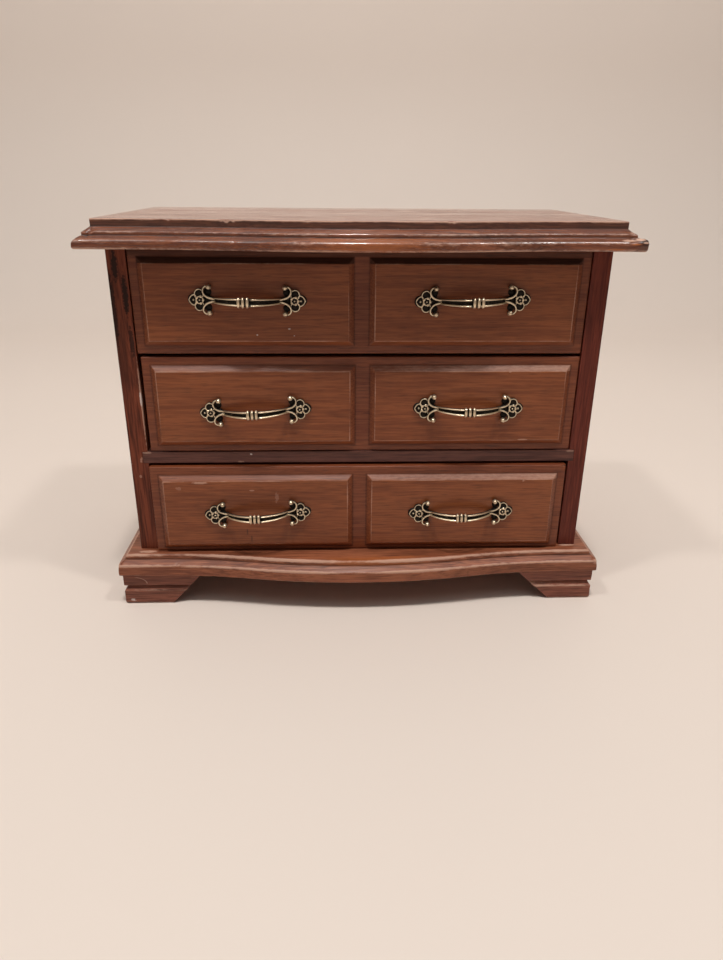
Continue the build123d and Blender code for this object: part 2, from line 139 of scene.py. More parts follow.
class ChestFeet(bpy.types.PropertyGroup):
    """Sizes of the grooved bracket feet."""

    left_toe: length("Left toe", "Length of a left bracket where it stands on the floor", 0.0312)
    right_toe: length("Right toe", "Length of a right bracket where it stands on the floor", 0.0282)
    groove_top: length("Groove top", "Height of the groove's upper lip", 0.0137)
    groove_floor: length("Groove floor", "Height of the groove's deepest line", 0.0129)
    groove_bottom: length("Groove bottom", "Height of the groove's lower lip", 0.0098)
    groove_depth: length("Groove depth", "Depth of the groove", 0.0023)
    lip_round: length("Lip round", "Worn radius of the lips", 0.0012)
    edge_round: length("Edge round", "Worn radius of the upper edge", 0.0007)
    toe_round: length("Toe round", "Worn radius round the end of a toe", 0.0007)


class ChestPulls(bpy.types.PropertyGroup):
    """Sizes of the cast pulls."""

    centres: length("Centres", "Distance between the rosettes of a pull", 0.054)
    wire: length("Wire", "Radius of the raised loops of an end plate", 0.00045)
    plate: length("Plate", "Thickness of the end plates", 0.0015)
    tip_reach: length("Tip reach", "How far the pointed loop reaches past the rosette", 0.0061)
    tip_in: length("Tip inside", "Where the pointed loop starts, out of the rosette's middle", 0.0016)
    tip_half: length("Tip half width", "Half the width of the pointed loop", 0.0029)
    stud_out: length("Stud out", "How far out of the rosette the stud in the pointed loop stands", 0.0036)
    stud_radius: length("Stud radius", "Radius of that stud", 0.00062)
    neck_in: length("Neck inside", "How far inside the rosette the plate's neck stands", 0.0046)
    neck_radius: length("Neck radius", "Radius of the plate's neck", 0.0026)
    lobe_radius: length("Lobe radius", "Radius of the round loops", 0.0025)
    lobe_out: length("Lobe out", "How far out of the rosette the round loops stand", 0.0003)
    lobe_up: length("Lobe up", "How far above and below the rosette the round loops stand", 0.0033)
    rosette_radius: length("Rosette radius", "Radius of a rosette", 0.0029)
    rosette_height: length("Rosette height", "Height of a rosette over the plate", 0.0014)
    petal_radius: length("Petal radius", "Radius of a rosette's petals", 0.0009)
    petal_depth: length("Petal half depth", "Half the depth of a rosette's petals", 0.0008)
    boss_radius: length("Boss radius", "Radius of the boss in the middle of a rosette", 0.0005)
    scroll_length: length("Scroll length", "Length of a scroll from the bar to its ball", 0.0137)
    scroll_radius: length("Scroll radius", "Radius of a scroll at its root", 0.00082)
    scroll_in: length("Scroll inside", "How far inside the rosette a scroll starts", 0.0085)
    scroll_up: length("Scroll up", "How far off the bar's middle a scroll starts", 0.0007)
    scroll_lift: length("Scroll lift", "How far a scroll starts, and then rises, over the plate", 0.0006)
    horn_in: length("Horn inside", "How far inside the rosette the plate behind a scroll stands", 0.0045)
    horn_up: length("Horn up", "How far above and below the bar that plate stands", 0.0044)
    horn_radius: length("Horn radius", "Radius of that plate", 0.0022)
    ball_radius: length("Ball radius", "Radius of the ball that ends a scroll", 0.0016)
    ball_depth: length("Ball half depth", "Half the depth of that ball, from the plate outwards", 0.0023)
    bar_root: length("Bar root", "How far inside the rosettes the bar leaves the plate", 0.0078)
    bar_end: length("Bar end", "How far inside the rosettes the bar ends in the plate", 0.0055)
    bar_crest: length("Bar crest", "How far the bar bows out", 0.0104)
    bar_half: length("Bar half height", "Half the bar's height at its middle", 0.0023)
    bar_end_half: length("Bar end half height", "Half the bar's height at its roots", 0.00145)
    bar_depth: length("Bar half depth", "Half the bar's depth", 0.0012)
    ring_pitch: length("Ring pitch", "Distance between the three rings", 0.0025)
    ring_half: length("Ring half height", "Half the height of a ring", 0.0031)
    ring_out: length("Ring out", "How far a ring stands out past the bar's own depth", 0.0009)
    ring_bead: length("Ring bead", "Radius of a ring's own bead", 0.00105)


class ChestFasteners(bpy.types.PropertyGroup):
    """Sizes of the screws and nails."""

    inset: length("Inset", "How far the base screws stand from the case's front and back", 0.034)
    pull_head: length("Pull screw head", "Radius of a pull screw's head", 0.003)
    pull_head_height: length("Pull screw head height", "Height of a pull screw's head", 0.0018)
    pull_shank: length("Pull screw shank", "Radius of a pull screw's shank", 0.00148)
    base_head: length("Base screw head", "Radius of a base screw's head", 0.0032)
    base_head_height: length("Base screw head height", "Height of a base screw's sunk head", 0.0012)
    base_shank: length("Base screw shank", "Radius of a base screw's shank", 0.00155)
    nail_head: length("Nail head", "Radius of a nail's head", 0.0016)
    nail_head_height: length("Nail head height", "Height of a nail's head", 0.0006)
    nail_shank: length("Nail shank", "Radius of a nail", 0.0006)
    slot_half: length("Slot half width", "Half the width of a screw's slot", 0.00035)
    slot_depth: length("Slot depth", "Depth of a screw's slot", 0.0007)


class ChestFinishes(bpy.types.PropertyGroup):
    """Colours of the finishes."""

    top_light: colour("Top light", "Lighter stain of the top", 178, 118, 92)
    top_dark: colour("Top dark", "Darker stain of the top", 124, 74, 58)
    top_edge: colour("Top edge", "Tint over the moulded edges of the top", 201, 183, 169)
    front_light: colour("Front light", "Lighter stain of the drawer fronts", 143, 79, 43)
    front_dark: colour("Front dark", "Darker stain of the drawer fronts", 117, 59, 31)
    margin: colour("Margin", "Tint over the flat margins of the drawer fronts", 232, 224, 240)
    left_light: colour("Left side light", "Lighter stain of the left side", 124, 61, 40)
    left_dark: colour("Left side dark", "Darker stain of the left side", 78, 36, 24)
    right_light: colour("Right side light", "Lighter stain of the right side", 118, 54, 40)
    right_dark: colour("Right side dark", "Darker stain of the right side", 90, 39, 30)
    rail_light: colour("Rail light", "Lighter stain of the rail", 104, 62, 52)
    rail_dark: colour("Rail dark", "Darker stain of the rail", 76, 43, 37)
    base_light: colour("Base light", "Lighter stain of the base", 158, 95, 66)
    base_dark: colour("Base dark", "Darker stain of the base", 116, 63, 43)
    foot_light: colour("Foot light", "Lighter stain of the feet", 143, 85, 66)
    foot_dark: colour("Foot dark", "Darker stain of the feet", 102, 56, 43)
    # Streak is also the colour that the painted shade darkens towards
    streak: colour("Streak", "Nearly black streaks in the stain", 24, 11, 8)
    # Worn also paints highlights: on the middle and lower fronts' top bevels, and in part along the fields'
    # arrises, the top's ovolo and the left side's inner edge
    worn: colour("Worn", "Pale bruised finish on the edges", 206, 164, 142)
    rubbed: colour("Rubbed", "Bare orange wood where hands rubbed", 176, 98, 48)
    dust: colour("Dust", "Pale specks", 232, 222, 214)
    box_light: colour("Box light", "Lighter raw wood of the drawer boxes", 208, 172, 128)
    box_dark: colour("Box dark", "Darker raw wood of the drawer boxes", 164, 122, 82)
    board_light: colour("Hardboard light", "Lighter fibres of the back", 128, 92, 62)
    board_dark: colour("Hardboard dark", "Darker fibres of the back", 92, 62, 40)
    brass: colour("Brass", "Rubbed brass", 222, 204, 176)
    patina: colour("Patina", "Dark patina in the recesses", 24, 17, 10)
    steel: colour("Steel", "Plated steel of the fasteners", 170, 168, 162)
    felt: colour("Felt", "Felt of the linings", 104, 22, 30)


class ChestStage(bpy.types.PropertyGroup):
    """Floor, lamps and camera."""

    floor: colour("Floor", "Colour of the floor and backdrop", 231, 217, 206)
    room: colour("Room", "Colour of the room past the floor and backdrop", 152, 140, 130)
    middle_lamp: power("Middle lamp", "Power of the lamp over the chest", 21)
    side_lamps: power("Side lamps", "Power of each lamp to the side", 8.5)
    ceiling_lamp: power("Ceiling lamp", "Power of the broad soft lamp under the ceiling", 15)
    ceiling_size: length("Ceiling size", "Width of the broad soft lamp", 3.0)
    lamp_height: length("Lamp height", "How high the lamps hang", 2.2)
    lamp_size: length("Lamp size", "Width of each lamp", 0.22)
    ambient: bpy.props.FloatProperty(
        name="Ambient", description="Strength of the light from all round", default=0.125, subtype="FACTOR"
    )
    camera_place: bpy.props.FloatVectorProperty(
        name="Camera place", description="Where the camera stands", subtype="XYZ", unit="LENGTH",
        default=(-0.01616, -0.49058, 0.26288),
    )
    camera_turn: bpy.props.FloatVectorProperty(
        name="Camera turn", description="Pitch down, roll and yaw of the camera", subtype="EULER",
        default=tuple(np.radians((22.751, -0.48, 2.248)).tolist()),
    )
    lens: bpy.props.FloatProperty(
        name="Lens", description="Focal length for a 36 mm long side", default=27.146, unit="CAMERA"
    )


# Surfaces

def unit(ways):
    """Ways of length one."""
    return ways / np.linalg.norm(ways, axis=-1, keepdims=True)


def unevenness(points, wavelength, seed):
    """Mean of eight seeded sine waves that run through space, each about a wavelength long, from -1 to 1."""
    waves, full_turn = 8, 6.28
    draw = np.random.default_rng(seed)
    ways = unit(draw.normal(size=(waves, 3))) * draw.uniform(0.6, 1.5, (waves, 1))
    phases = draw.uniform(0, full_turn, waves)
    return np.sin(points @ (2 * np.pi / wavelength * ways.T) + phases).mean(axis=-1)


def bell(distance, width):
    """A bell curve: one at no distance, falling off over the width."""
    return np.exp(-((distance / width) ** 2))


def spaced(start, end, step):
    """Even spacing from start to end in steps of about the given size."""
    return np.linspace(start, end, max(2, int(np.ceil(abs(end - start) / step)) + 1))


def around(count):
    """Even angles once round a circle."""
    return np.linspace(0, 2 * np.pi, count, endpoint=False)


def numbered(rows, columns, first=0):
    """The numbers of a grid's points, row by row."""
    return first + np.arange(rows * columns).reshape(rows, columns)


def grid_faces(rows, columns, wrap_rows=False, wrap_columns=False, first=0):
    """Quads between neighbouring points of a grid numbered row by row, joined round where it wraps."""
    row = np.arange(rows if wrap_rows else rows - 1)[:, None]
    column = np.arange(columns if wrap_columns else columns - 1)[None, :]
    below, beside = (row + 1) % rows * columns, (column + 1) % columns
    row = row * columns
    corners = (row + column, below + column, below + beside, row + beside)
    return (np.stack(corners, axis=-1).reshape(-1, 4) + first).tolist()


def tube_faces(rows, columns):
    """Quads of a grid that wraps round its columns, with a flat face over its first row and its last."""
    number = numbered(rows, columns)
    return grid_faces(rows, columns, False, True) + [number[0].tolist(), number[-1, ::-1].tolist()]


def rounded_line(corners, steps=9, step=0.0009):
    """A line through (across, height, radius, mark) corners, each rounded by an arc that touches both runs.

    Gives the points and two marks along them, each the corner's mark times a bell curve of the distance
    along the line from the corner's middle: wear on the outer corners and painted shade in the inner ones.
    """
    wear_width, wear_share, shade_width = 0.0004, 0.55, 0.00045
    corners = np.array(corners, float)
    spots = corners[:, :2]
    points, middles = spots[:1], []
    for before, spot, after, (radius, mark) in zip(spots[:-2], spots[1:-1], spots[2:], corners[1:-1, 2:]):
        back, ahead = unit(before - spot), unit(after - spot)
        half = np.arccos(np.clip(back @ ahead, -1, 1)) / 2
        centre = spot + unit(back + ahead) * radius / np.sin(half)
        start = spot + back * radius / np.tan(half) - centre
        end = spot + ahead * radius / np.tan(half) - centre
        turn = np.linspace(0, 1, steps)[:, None]
        sweep = np.pi - 2 * half
        arc = centre + (np.sin((1 - turn) * sweep) * start + np.sin(turn * sweep) * end) / np.sin(sweep)
        run = spaced(0, 1, step / np.linalg.norm(arc[0] - points[-1]))[1:-1, None]
        points = np.concatenate((points, points[-1] + run * (arc[0] - points[-1]), arc))
        middles.append((len(points) - 1 - steps // 2, back[0] * ahead[1] < back[1] * ahead[0], radius, mark))
    run = spaced(0, 1, step / np.linalg.norm(spots[-1] - points[-1]))[1:, None]
    points = np.concatenate((points, points[-1] + run * (spots[-1] - points[-1])))
    along = np.concatenate(((0,), np.cumsum(np.linalg.norm(np.diff(points, axis=0), axis=1))))
    wear, painted_shade = np.zeros(len(points)), np.zeros(len(points))
    for middle, outer, radius, mark in middles:
        away = along - along[middle]
        if outer:
            wear = np.maximum(wear, mark * bell(away, wear_width + wear_share * radius))
        else:
            # Inner corners get painted shade, a darkening where shade falls in the crease
            painted_shade = np.maximum(painted_shade, mark * bell(away, shade_width))
    wear[[0, -1]] = 0
    return points, wear, painted_shade


def bowed_path(sizes):
    """The plan line of the case front and sides, with the outward way at each point.

    It runs up the left side, round the corner, along the short straight, in a hollow arc and a swelling arc
    of one radius to the middle, and on as the mirror image. At a corner the outward way turns through a
    rounded square, so that whatever is carried along it meets in a slightly worn mitre.
    """
    bow_half = HALF_WIDTH - sizes.bow_inset
    flank = 2 * np.arctan(sizes.bow_depth / bow_half)
    radius = bow_half / 2 / np.sin(flank)
    step, squareness, corner_steps = 0.0008, 36, 33
    side = spaced(REAR_Y, FRONT_Y, 3 * step)[:-1]
    turn = np.linspace(np.pi, 1.5 * np.pi, corner_steps)
    square = np.stack((np.cos(turn), np.sin(turn)), axis=-1)
    square /= (np.abs(square) ** squareness).sum(axis=-1, keepdims=True) ** (1 / squareness)
    straight = spaced(-HALF_WIDTH, -bow_half, step)[1:-1]
    hollow = spaced(0, flank, step / radius)[:-1]
    swell = spaced(-flank, 0, step / radius)
    places = np.concatenate((
        np.stack((np.full(side.size, -HALF_WIDTH), side), axis=-1),
        np.tile((-HALF_WIDTH, FRONT_Y), (turn.size, 1)),
        np.stack((straight, np.full(straight.size, FRONT_Y)), axis=-1),
        np.stack((-bow_half + radius * np.sin(hollow), FRONT_Y - radius * (1 - np.cos(hollow))), axis=-1),
        np.stack((radius * np.sin(swell), FRONT_Y - sizes.bow_depth + radius * (1 - np.cos(swell))), axis=-1),
    ))
    ways = np.concatenate((
        np.tile((-1.0, 0.0), (side.size, 1)),
        square,
        np.tile((0.0, -1.0), (straight.size, 1)),
        np.stack((-np.sin(hollow), -np.cos(hollow)), axis=-1),
        np.stack((np.sin(swell), -np.cos(swell)), axis=-1),
    ))
    mirror = np.array((-1.0, 1.0))
    return np.concatenate((places, places[-2::-1] * mirror)), np.concatenate((ways, ways[-2::-1] * mirror))


def moulded_board(edge, bottom, sizes, chips, seed):
    """A board whose edge, a line with its wear and painted shade, is carried along the bowed path.

    Each point is the path's place, plus the outward way times the edge's overhang, at the edge's height. Its
    worn faces wander along their own outward way by seeded waves. A chip is a place, a radius, a share of the
    deepest depth and a paleness. It pushes points in by its depth times a bell curve of their distance from
    it, broken by finer waves. Flat faces close the top, bottom and back.
    """
    # Wavelengths of the wear and its breaks, of the painted shade, of the wandering faces and of the chips
    broad, fine, shade_wave, wandering, splintered = 0.07, 0.012, 0.02, 0.06, 0.0022
    profile, wear, painted_shade = edge
    places, ways = bowed_path(sizes)
    slope = unit(np.gradient(profile, axis=0))
    flat = places[:, None] + ways[:, None] * profile[None, :, :1]
    height = np.broadcast_to(bottom + profile[:, 1], flat.shape[:2])
    points = np.concatenate((flat, height[..., None]), axis=-1)
    lean = np.broadcast_to(-slope[:, 0], flat.shape[:2])
    normals = unit(np.concatenate((ways[:, None] * slope[None, :, 1:], lean[..., None]), axis=-1))
    patchy = unevenness(points, broad, seed) + 0.3 * unevenness(points, fine, seed + 5)
    worn = wear[None, :] * (0.7 + 0.5 * patchy)
    # Painted shade in the inner corners, broken by waves
    shade_paint = painted_shade[None, :] * (0.8 + 0.5 * unevenness(points, shade_wave, seed + 3))
    inside = np.ones(len(profile))
    inside[[0, -1]] = 0
    pushed = sizes.waviness * unevenness(points, wandering, seed + 1)
    rough = 1 + 0.8 * unevenness(points, splintered, seed + 4)
    for spot, radius, depth, pale in chips:
        near = bell(np.linalg.norm(points - np.array(spot), axis=-1), radius)
        pushed = pushed - sizes.chip_depth * depth * near * rough
        worn = np.maximum(worn, pale * near)
    points = points + normals * (pushed * inside)[..., None]
    rows, columns = points.shape[:2]
    number = numbered(rows, columns)
    under, over = number[::-1, 0].tolist(), number[:, -1].tolist()
    caps = [under, over, number[0].tolist() + number[-1, ::-1].tolist()]
    return points.reshape(-1, 3), grid_faces(rows, columns) + caps, worn.reshape(-1), shade_paint.reshape(-1)


def edged_axis(stops, fine=0.00034, coarse=0.0014):
    """Places along an axis from its first stop to its last: fine over odd runs, coarse over even ones."""
    runs = [spaced(a, b, fine if number % 2 else coarse)[1:]
            for number, (a, b) in enumerate(zip(stops[:-1], stops[1:]))]
    return np.concatenate([np.array(stops[:1])] + runs)


def fielded_front(low, high, lift, dents, sizes, seed):
    """A drawer front: a sheet of heights over (x, z), skirted by its worn edges and closed at the back.

    The height over the face is the rise times a softened clamp, from 0 to 1, of how far a point lies inside
    its field over the bevel's width. How far it lies inside is the least of its distances to the four edges.
    A dent pushes points back by its depth times a bell curve of their distance from it. The skirt turns each
    edge through a quarter circle and runs straight to the back.
    """
    edge, bevel, soft = sizes.edge_round, sizes.bevel, 0.001
    edge_wander, line_width, shade_width, skirt_steps = 0.00008, 0.00045, 0.0005, 6
    left, right = low.x + sizes.end_gap, high.x - sizes.end_gap
    middle_x, middle_z = (left + right) / 2, (low.z + high.z) / 2
    field_x = (left + sizes.end_margin, middle_x - sizes.strip / 2)
    field_z = (middle_z + lift - sizes.field_height / 2, middle_z + lift + sizes.field_height / 2)
    half_x, upward = (
        edged_axis((
            start, field[0] - soft, field[0] + bevel + soft, field[1] - bevel - soft, field[1] + soft, end,
        ))
        for start, field, end in ((left + edge, field_x, middle_x), (low.z + edge, field_z, high.z - edge))
    )
    across = np.concatenate((half_x, 2 * middle_x - half_x[-2::-1]))
    x, z = np.meshgrid(across, upward, indexing="ij")
    mirrored = np.minimum(x, 2 * middle_x - x)
    face_y = low.y + sizes.rise
    spots = np.stack((x, np.full_like(x, face_y), z), axis=-1)
    edges = (mirrored - field_x[0], field_x[1] - mirrored, z - field_z[0], field_z[1] - z)
    inside = np.minimum.reduce(edges) + edge_wander * unevenness(spots, 0.03, seed)
    up, ease = inside / bevel, sizes.softness / bevel
    raised = 0.5 * (np.hypot(up, ease) - np.hypot(up - 1, ease) + 1)
    y = face_y - sizes.rise * raised + sizes.waviness * unevenness(spots, 0.016, seed + 1)
    # A pale line along each field's arris: wear, and a painted highlight where the edge catches the light
    worn = 0.95 * bell(inside - bevel, line_width) * (0.8 + 0.5 * unevenness(spots, 0.035, seed + 2))
    # Painted shade in the inner corner where each bevel meets the margin
    painted_shade = 0.6 * bell(inside, shade_width)
    for dent_x, dent_z, radius, depth in dents:
        near = bell(np.hypot(x - dent_x, z - dent_z), radius)
        y = y + depth * near
        worn = np.maximum(worn, 1.1 * near)

    rows, columns = x.shape
    number = numbered(rows, columns)
    loop = np.concatenate((number[:, 0], number[-1, 1:], number[-2::-1, -1], number[0, -2:0:-1]))
    points = np.stack((x, y, z), axis=-1).reshape(-1, 3)
    rim = points[loop]
    centre = np.array((middle_x, 0, middle_z))
    half = np.array((middle_x - left - edge, 1, (high.z - low.z) / 2 - edge))
    turn = np.linspace(0, np.pi / 2, skirt_steps)[1:]
    out = np.concatenate((edge * np.sin(turn), (edge, edge)))
    deep = np.concatenate((edge * (1 - np.cos(turn)), ((high.y - face_y) / 2, high.y - face_y)))
    skirt = centre + (rim - centre) * (1 + out[:, None, None] / half * np.array((1, 0, 1)))
    settled = np.minimum(1, deep / edge)[:, None]
    skirt[..., 1] = rim[:, 1] * (1 - settled) + face_y * settled + deep[:, None]
    ring = np.concatenate((loop[None], numbered(deep.size, loop.size, number.size)))
    after = np.roll(ring, -1, axis=1)
    sides = np.stack((ring[:-1], ring[1:], after[1:], after[:-1]), axis=-1).reshape(-1, 4)
    faces = grid_faces(rows, columns) + sides.tolist() + [ring[-1, ::-1].tolist()]
    edge_mark = np.concatenate((np.sin(2 * turn), (0, 0)))[:, None]
    skirt_wear = 0.6 * edge_mark * (0.5 + 0.9 * unevenness(skirt, 0.03, seed + 3))
    plain = np.zeros(skirt_wear.size)
    marks = {
        "wear": np.concatenate((worn.reshape(-1), skirt_wear.reshape(-1))),
        "painted_shade": np.concatenate((painted_shade.reshape(-1), plain)),
        "field": np.concatenate((np.clip(up, 0, 1).reshape(-1), plain)),
    }
    return np.concatenate((points, skirt.reshape(-1, 3))), faces, marks


def foot_strip(corner, run, inward, whole, toe, thick, tall, mitred, sizes, seed):
    """One grooved bracket of a foot, from its corner to its slanted toe.

    Its section, a face with a groove between worn lips, is carried along the run. A section point at depth d
    and height h starts d along the run where the strip is mitred, and ends at the toe plus the slant's share
    of h. Over the last rows the section draws in by one minus the cosine of a quarter turn, which rounds the
    end.
    """
    lip, lip_wear, groove_round, plain_rows, end_rows = sizes.lip_round, 0.0004, 0.00012, 57, 6
    section, wear, painted_shade = rounded_line((
        (-thick, 0, 0, 0),
        (0, 0, 1.5 * lip, 0.7),
        (0, sizes.groove_bottom, lip, 1.0),
        (-sizes.groove_depth, sizes.groove_floor, groove_round, 0.9),
        (0, sizes.groove_top, 0.8 * lip, 0.6),
        (0, tall, sizes.edge_round, 0.6),
        (-thick, tall, 0, 0),
    ), 7)
    depth, height = -section[:, 0], section[:, 1]
    start = depth * mitred
    end = toe + (whole - toe) * height / tall - sizes.toe_round
    row = np.arange(plain_rows + 1 + end_rows)[:, None]
    turn = np.clip(row - plain_rows, 0, end_rows) * np.pi / (2 * end_rows)
    along = start + (end - start) * np.minimum(row / plain_rows, 1) + sizes.toe_round * np.sin(turn)
    slope = unit(np.gradient(section, axis=0))
    drawn_in = sizes.toe_round * (1 - np.cos(turn))
    points = (
        np.array(corner) + along[..., None] * np.array(run)
        + (depth + drawn_in * slope[:, 1])[..., None] * np.array(inward)
        + (height + drawn_in * slope[:, 0])[..., None] * np.array((0, 0, 1.0))
    )
    over_lip = (height > sizes.groove_bottom - lip_wear) & (height < sizes.groove_floor)
    shelf = over_lip & (depth < 0.9 * sizes.groove_depth)
    worn = np.maximum(wear, 0.55 * shelf) * (0.7 + 0.7 * unevenness(points, 0.025, seed))
    points, faces = faced_out(points.reshape(-1, 3), tube_faces(*along.shape))
    # The groove's inner corner carries painted shade
    return points, faces, {"wear": worn.reshape(-1), "painted_shade": np.tile(0.6 * painted_shade, len(along))}


# Meshes

# The angle in degrees past which an edge is sharp, and how near points are welded
SHARP = 40.0
WELD_REACH = 0.000005


def faced_out(points, faces):
    """A closed piece with its faces turned outwards, found from the sign of the volume that they enclose."""
    fans = np.array([(face[0], b, c) for face in faces for b, c in zip(face[1:-1], face[2:])])
    a, b, c = (points - points.mean(axis=0))[fans].transpose(1, 0, 2)
    volume = (a * np.cross(b, c)).sum()
    return points, faces if volume > 0 else [face[::-1] for face in faces]


def add_piece(name, body, material, points, faces, marks=None, smooth=SHARP, replaces=()):
    """Puts points and faces into a new piece that rides on a body, with named marks kept for its material."""
    mesh = bpy.data.meshes.new(name)
    mesh.from_pydata(np.asarray(points).tolist(), [], faces)
    for mark, values in (marks or {}).items():
        layer = mesh.attributes.new(mark, "FLOAT", "POINT")
        layer.data.foreach_set("value", np.clip(values, 0, 1).astype(np.float32))
    mesh.materials.append(material)
    mesh.shade_smooth()
    mesh.set_sharp_from_angle(angle=np.radians(smooth))
    piece = bpy.data.objects.new(name, mesh)
    bpy.context.scene.collection.objects.link(piece)
    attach(piece, body)
    if replaces:
        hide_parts(*replaces)
    return piece


def join_parts(parts):
    """One mesh from many (points, faces, mark) parts, with the faces renumbered and turned outwards."""
    firsts = np.cumsum([0] + [len(points) for points, _, _ in parts])
    points = np.concatenate([points for points, _, _ in parts])
    faces = []
    for first, (own_points, own_faces, _) in zip(firsts, parts):
        faces += [[corner + int(first) for corner in face] for face in faced_out(own_points, own_faces)[1]]
    return points, faces, np.concatenate([mark for _, _, mark in parts])


def soften(node, width):
    """Welds a plain board's triangles and rounds its sharp edges a little, as modifiers."""
    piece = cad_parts[node]
    weld = piece.modifiers.new("Weld", "WELD")
    weld.merge_threshold = WELD_REACH
    bevel = piece.modifiers.new("Worn edges", "BEVEL")
    bevel.width = width
    bevel.segments = 2
    bevel.limit_method = "ANGLE"
    bevel.angle_limit = np.radians(SHARP)
    bevel.use_clamp_overlap = True


def dress(nodes, material, edge=0.0):
    """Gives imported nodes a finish, and softens their edges where a width is given."""
    for node in nodes:
        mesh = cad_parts[node].data
        mesh.materials.clear()
        mesh.materials.append(material)
        if edge:
            soften(node, edge)


# Pulls and fasteners, in (along, up, out) of their seats

def tube(line, radii, sides, wrap):
    """A wire: each point of a line plus its radius times a cosine sideways and a sine outwards.

    It runs round where it wraps, and otherwise flat faces close its ends. Its relief is highest outwards,
    so that its dark sides are patina and a painted shade.
    """
    ahead = np.roll(line, -1, axis=0) - np.roll(line, 1, axis=0) if wrap else np.gradient(line, axis=0)
    ahead = unit(ahead)
    sideways = unit(np.cross(ahead, (0.0, 0.0, 1.0)))
    outward = np.cross(sideways, ahead)
    angle = around(sides)
    radii = np.broadcast_to(radii, line.shape[:1])[:, None, None]
    ring = np.cos(angle)[:, None] * sideways[:, None] + np.sin(angle)[:, None] * outward[:, None]
    points = line[:, None] + radii * ring
    faces = grid_faces(len(line), sides, True, True) if wrap else tube_faces(len(line), sides)
    return points.reshape(-1, 3), faces, np.tile(np.clip(np.sin(angle), 0, 1) ** 1.2, len(line))


def dome(centre, radius, height, fullness=1.0, petals=0, ripple=0.0, relief=0.0, slot=(0.0, 0.0)):
    """A round boss: its height falls off as a power of the distance from its middle.

    Its rim may be petalled, and a straight slot of a half width and a depth may cross it.
    """
    turns, rings = 48, 16
    angle = around(turns)[None, :]
    reach = np.linspace(0, 1, rings)[1:, None]
    rim = radius * (1 + ripple * np.cos(petals * angle))
    along, up = reach * rim * np.cos(angle), reach * rim * np.sin(angle)
    cut = slot[1] * np.clip(4 - 3 * np.abs(up) / max(slot[0], 1e-9), 0, 1)
    out = np.maximum(height * (1 - reach ** (2 * fullness)) - cut * (reach < 1), 0)
    shell = np.stack((along, up, out), axis=-1).reshape(-1, 3)
    points = np.array(centre) + np.concatenate((((0, 0, height - slot[1]),), shell))
    number = numbered(rings - 1, turns, 1)
    middle = np.stack((np.zeros(turns, int), number[0], np.roll(number[0], -1)), axis=-1).tolist()
    faces = middle + grid_faces(rings - 1, turns, False, True, 1) + [number[-1, ::-1].tolist()]
    mark = np.concatenate(((1.0,), np.broadcast_to(1 - reach ** 2, along.shape).reshape(-1)))
    return points, faces, relief * mark


def ball(centre, radius):
    """A ball: circles of sine-of-latitude radius at cosine-of-latitude height, with a point at each pole.

    Its radius may differ along, up and out.
    """
    turns, rings = 20, 11
    angle = around(turns)[None, :]
    tilt = np.linspace(0, np.pi, rings)[1:-1, None]
    flat, height = np.sin(tilt), np.cos(tilt) * np.ones_like(angle)
    shell = np.stack((flat * np.cos(angle), flat * np.sin(angle), height), axis=-1).reshape(-1, 3)
    shell = np.concatenate((((0, 0, 1),), shell, ((0, 0, -1),)))
    number = numbered(rings - 2, turns, 1)
    first_ring = np.stack((np.zeros(turns, int), number[0], np.roll(number[0], -1)), axis=-1)
    last_ring = np.stack((np.full(turns, len(shell) - 1), np.roll(number[-1], -1), number[-1]), axis=-1)
    faces = first_ring.tolist() + grid_faces(rings - 2, turns, False, True, 1) + last_ring.tolist()
    return np.array(centre) + np.array(radius) * shell, faces, 0.6 + 0.4 * shell[:, 2]


def softened_ring(corners, rounds):
    """A closed outline whose corners are cut again and again at a quarter and three quarters of each run."""
    for _ in range(rounds):
        after = np.roll(corners, -1, axis=0)
        cuts = (0.75 * corners + 0.25 * after, 0.25 * corners + 0.75 * after)
        corners = np.stack(cuts, axis=1).reshape(-1, 2)
    return corners


def pull_bar(sizes):
    """The bar: a section with two ridges, a wide groove and a low middle ridge, carried along a bow.

    The bow leaves the plates at its roots, rises as a flattened cosine to its crest, and the section's height
    swells from the roots to the middle.
    """
    steps, flatness = 121, 0.7
    half = sizes.centres / 2
    root = half - sizes.bar_root
    along = np.linspace(-1, 1, steps) * (half - sizes.bar_end)
    bent = np.cos(np.clip(np.abs(along) / root, 0, 1) * np.pi / 2) ** flatness
    floor = sizes.plate * 0.75
    line = np.stack((along, np.zeros_like(along), floor + (sizes.bar_crest - floor) * bent), axis=-1)
    outward = np.cross(unit(np.gradient(line, axis=0)), (0.0, 1.0, 0.0))
    lower = np.array((
        (-1.0, -0.5), (-1.0, 0.5), (-0.9, 1.1), (-0.66, 1.2), (-0.48, 0.7), (-0.36, 0.1), (-0.12, 0.1),
    ))
    low_ridge, back = ((0.0, 0.5),), ((0.5, -1.0), (-0.5, -1.0))
    section = softened_ring(np.concatenate((lower, low_ridge, lower[::-1] * (-1, 1), back)), 2)
    tall = sizes.bar_end_half + (sizes.bar_half - sizes.bar_end_half) * bent
    points = (
        line[:, None]
        + tall[:, None, None] * section[None, :, :1] * np.array((0.0, 1.0, 0.0))
        + sizes.bar_depth * section[None, :, 1:] * outward[:, None]
    )
    # The bar goes dark between the rings: patina, and painted shade between the parts
    between_rings = bell(along, 1.5 * sizes.ring_pitch) ** 2
    relief = np.clip(1.3 * section[:, 1] + 0.05, 0, 1) * (1 - 0.9 * between_rings[:, None])
    return points.reshape(-1, 3), tube_faces(*points.shape[:2]), relief.reshape(-1)


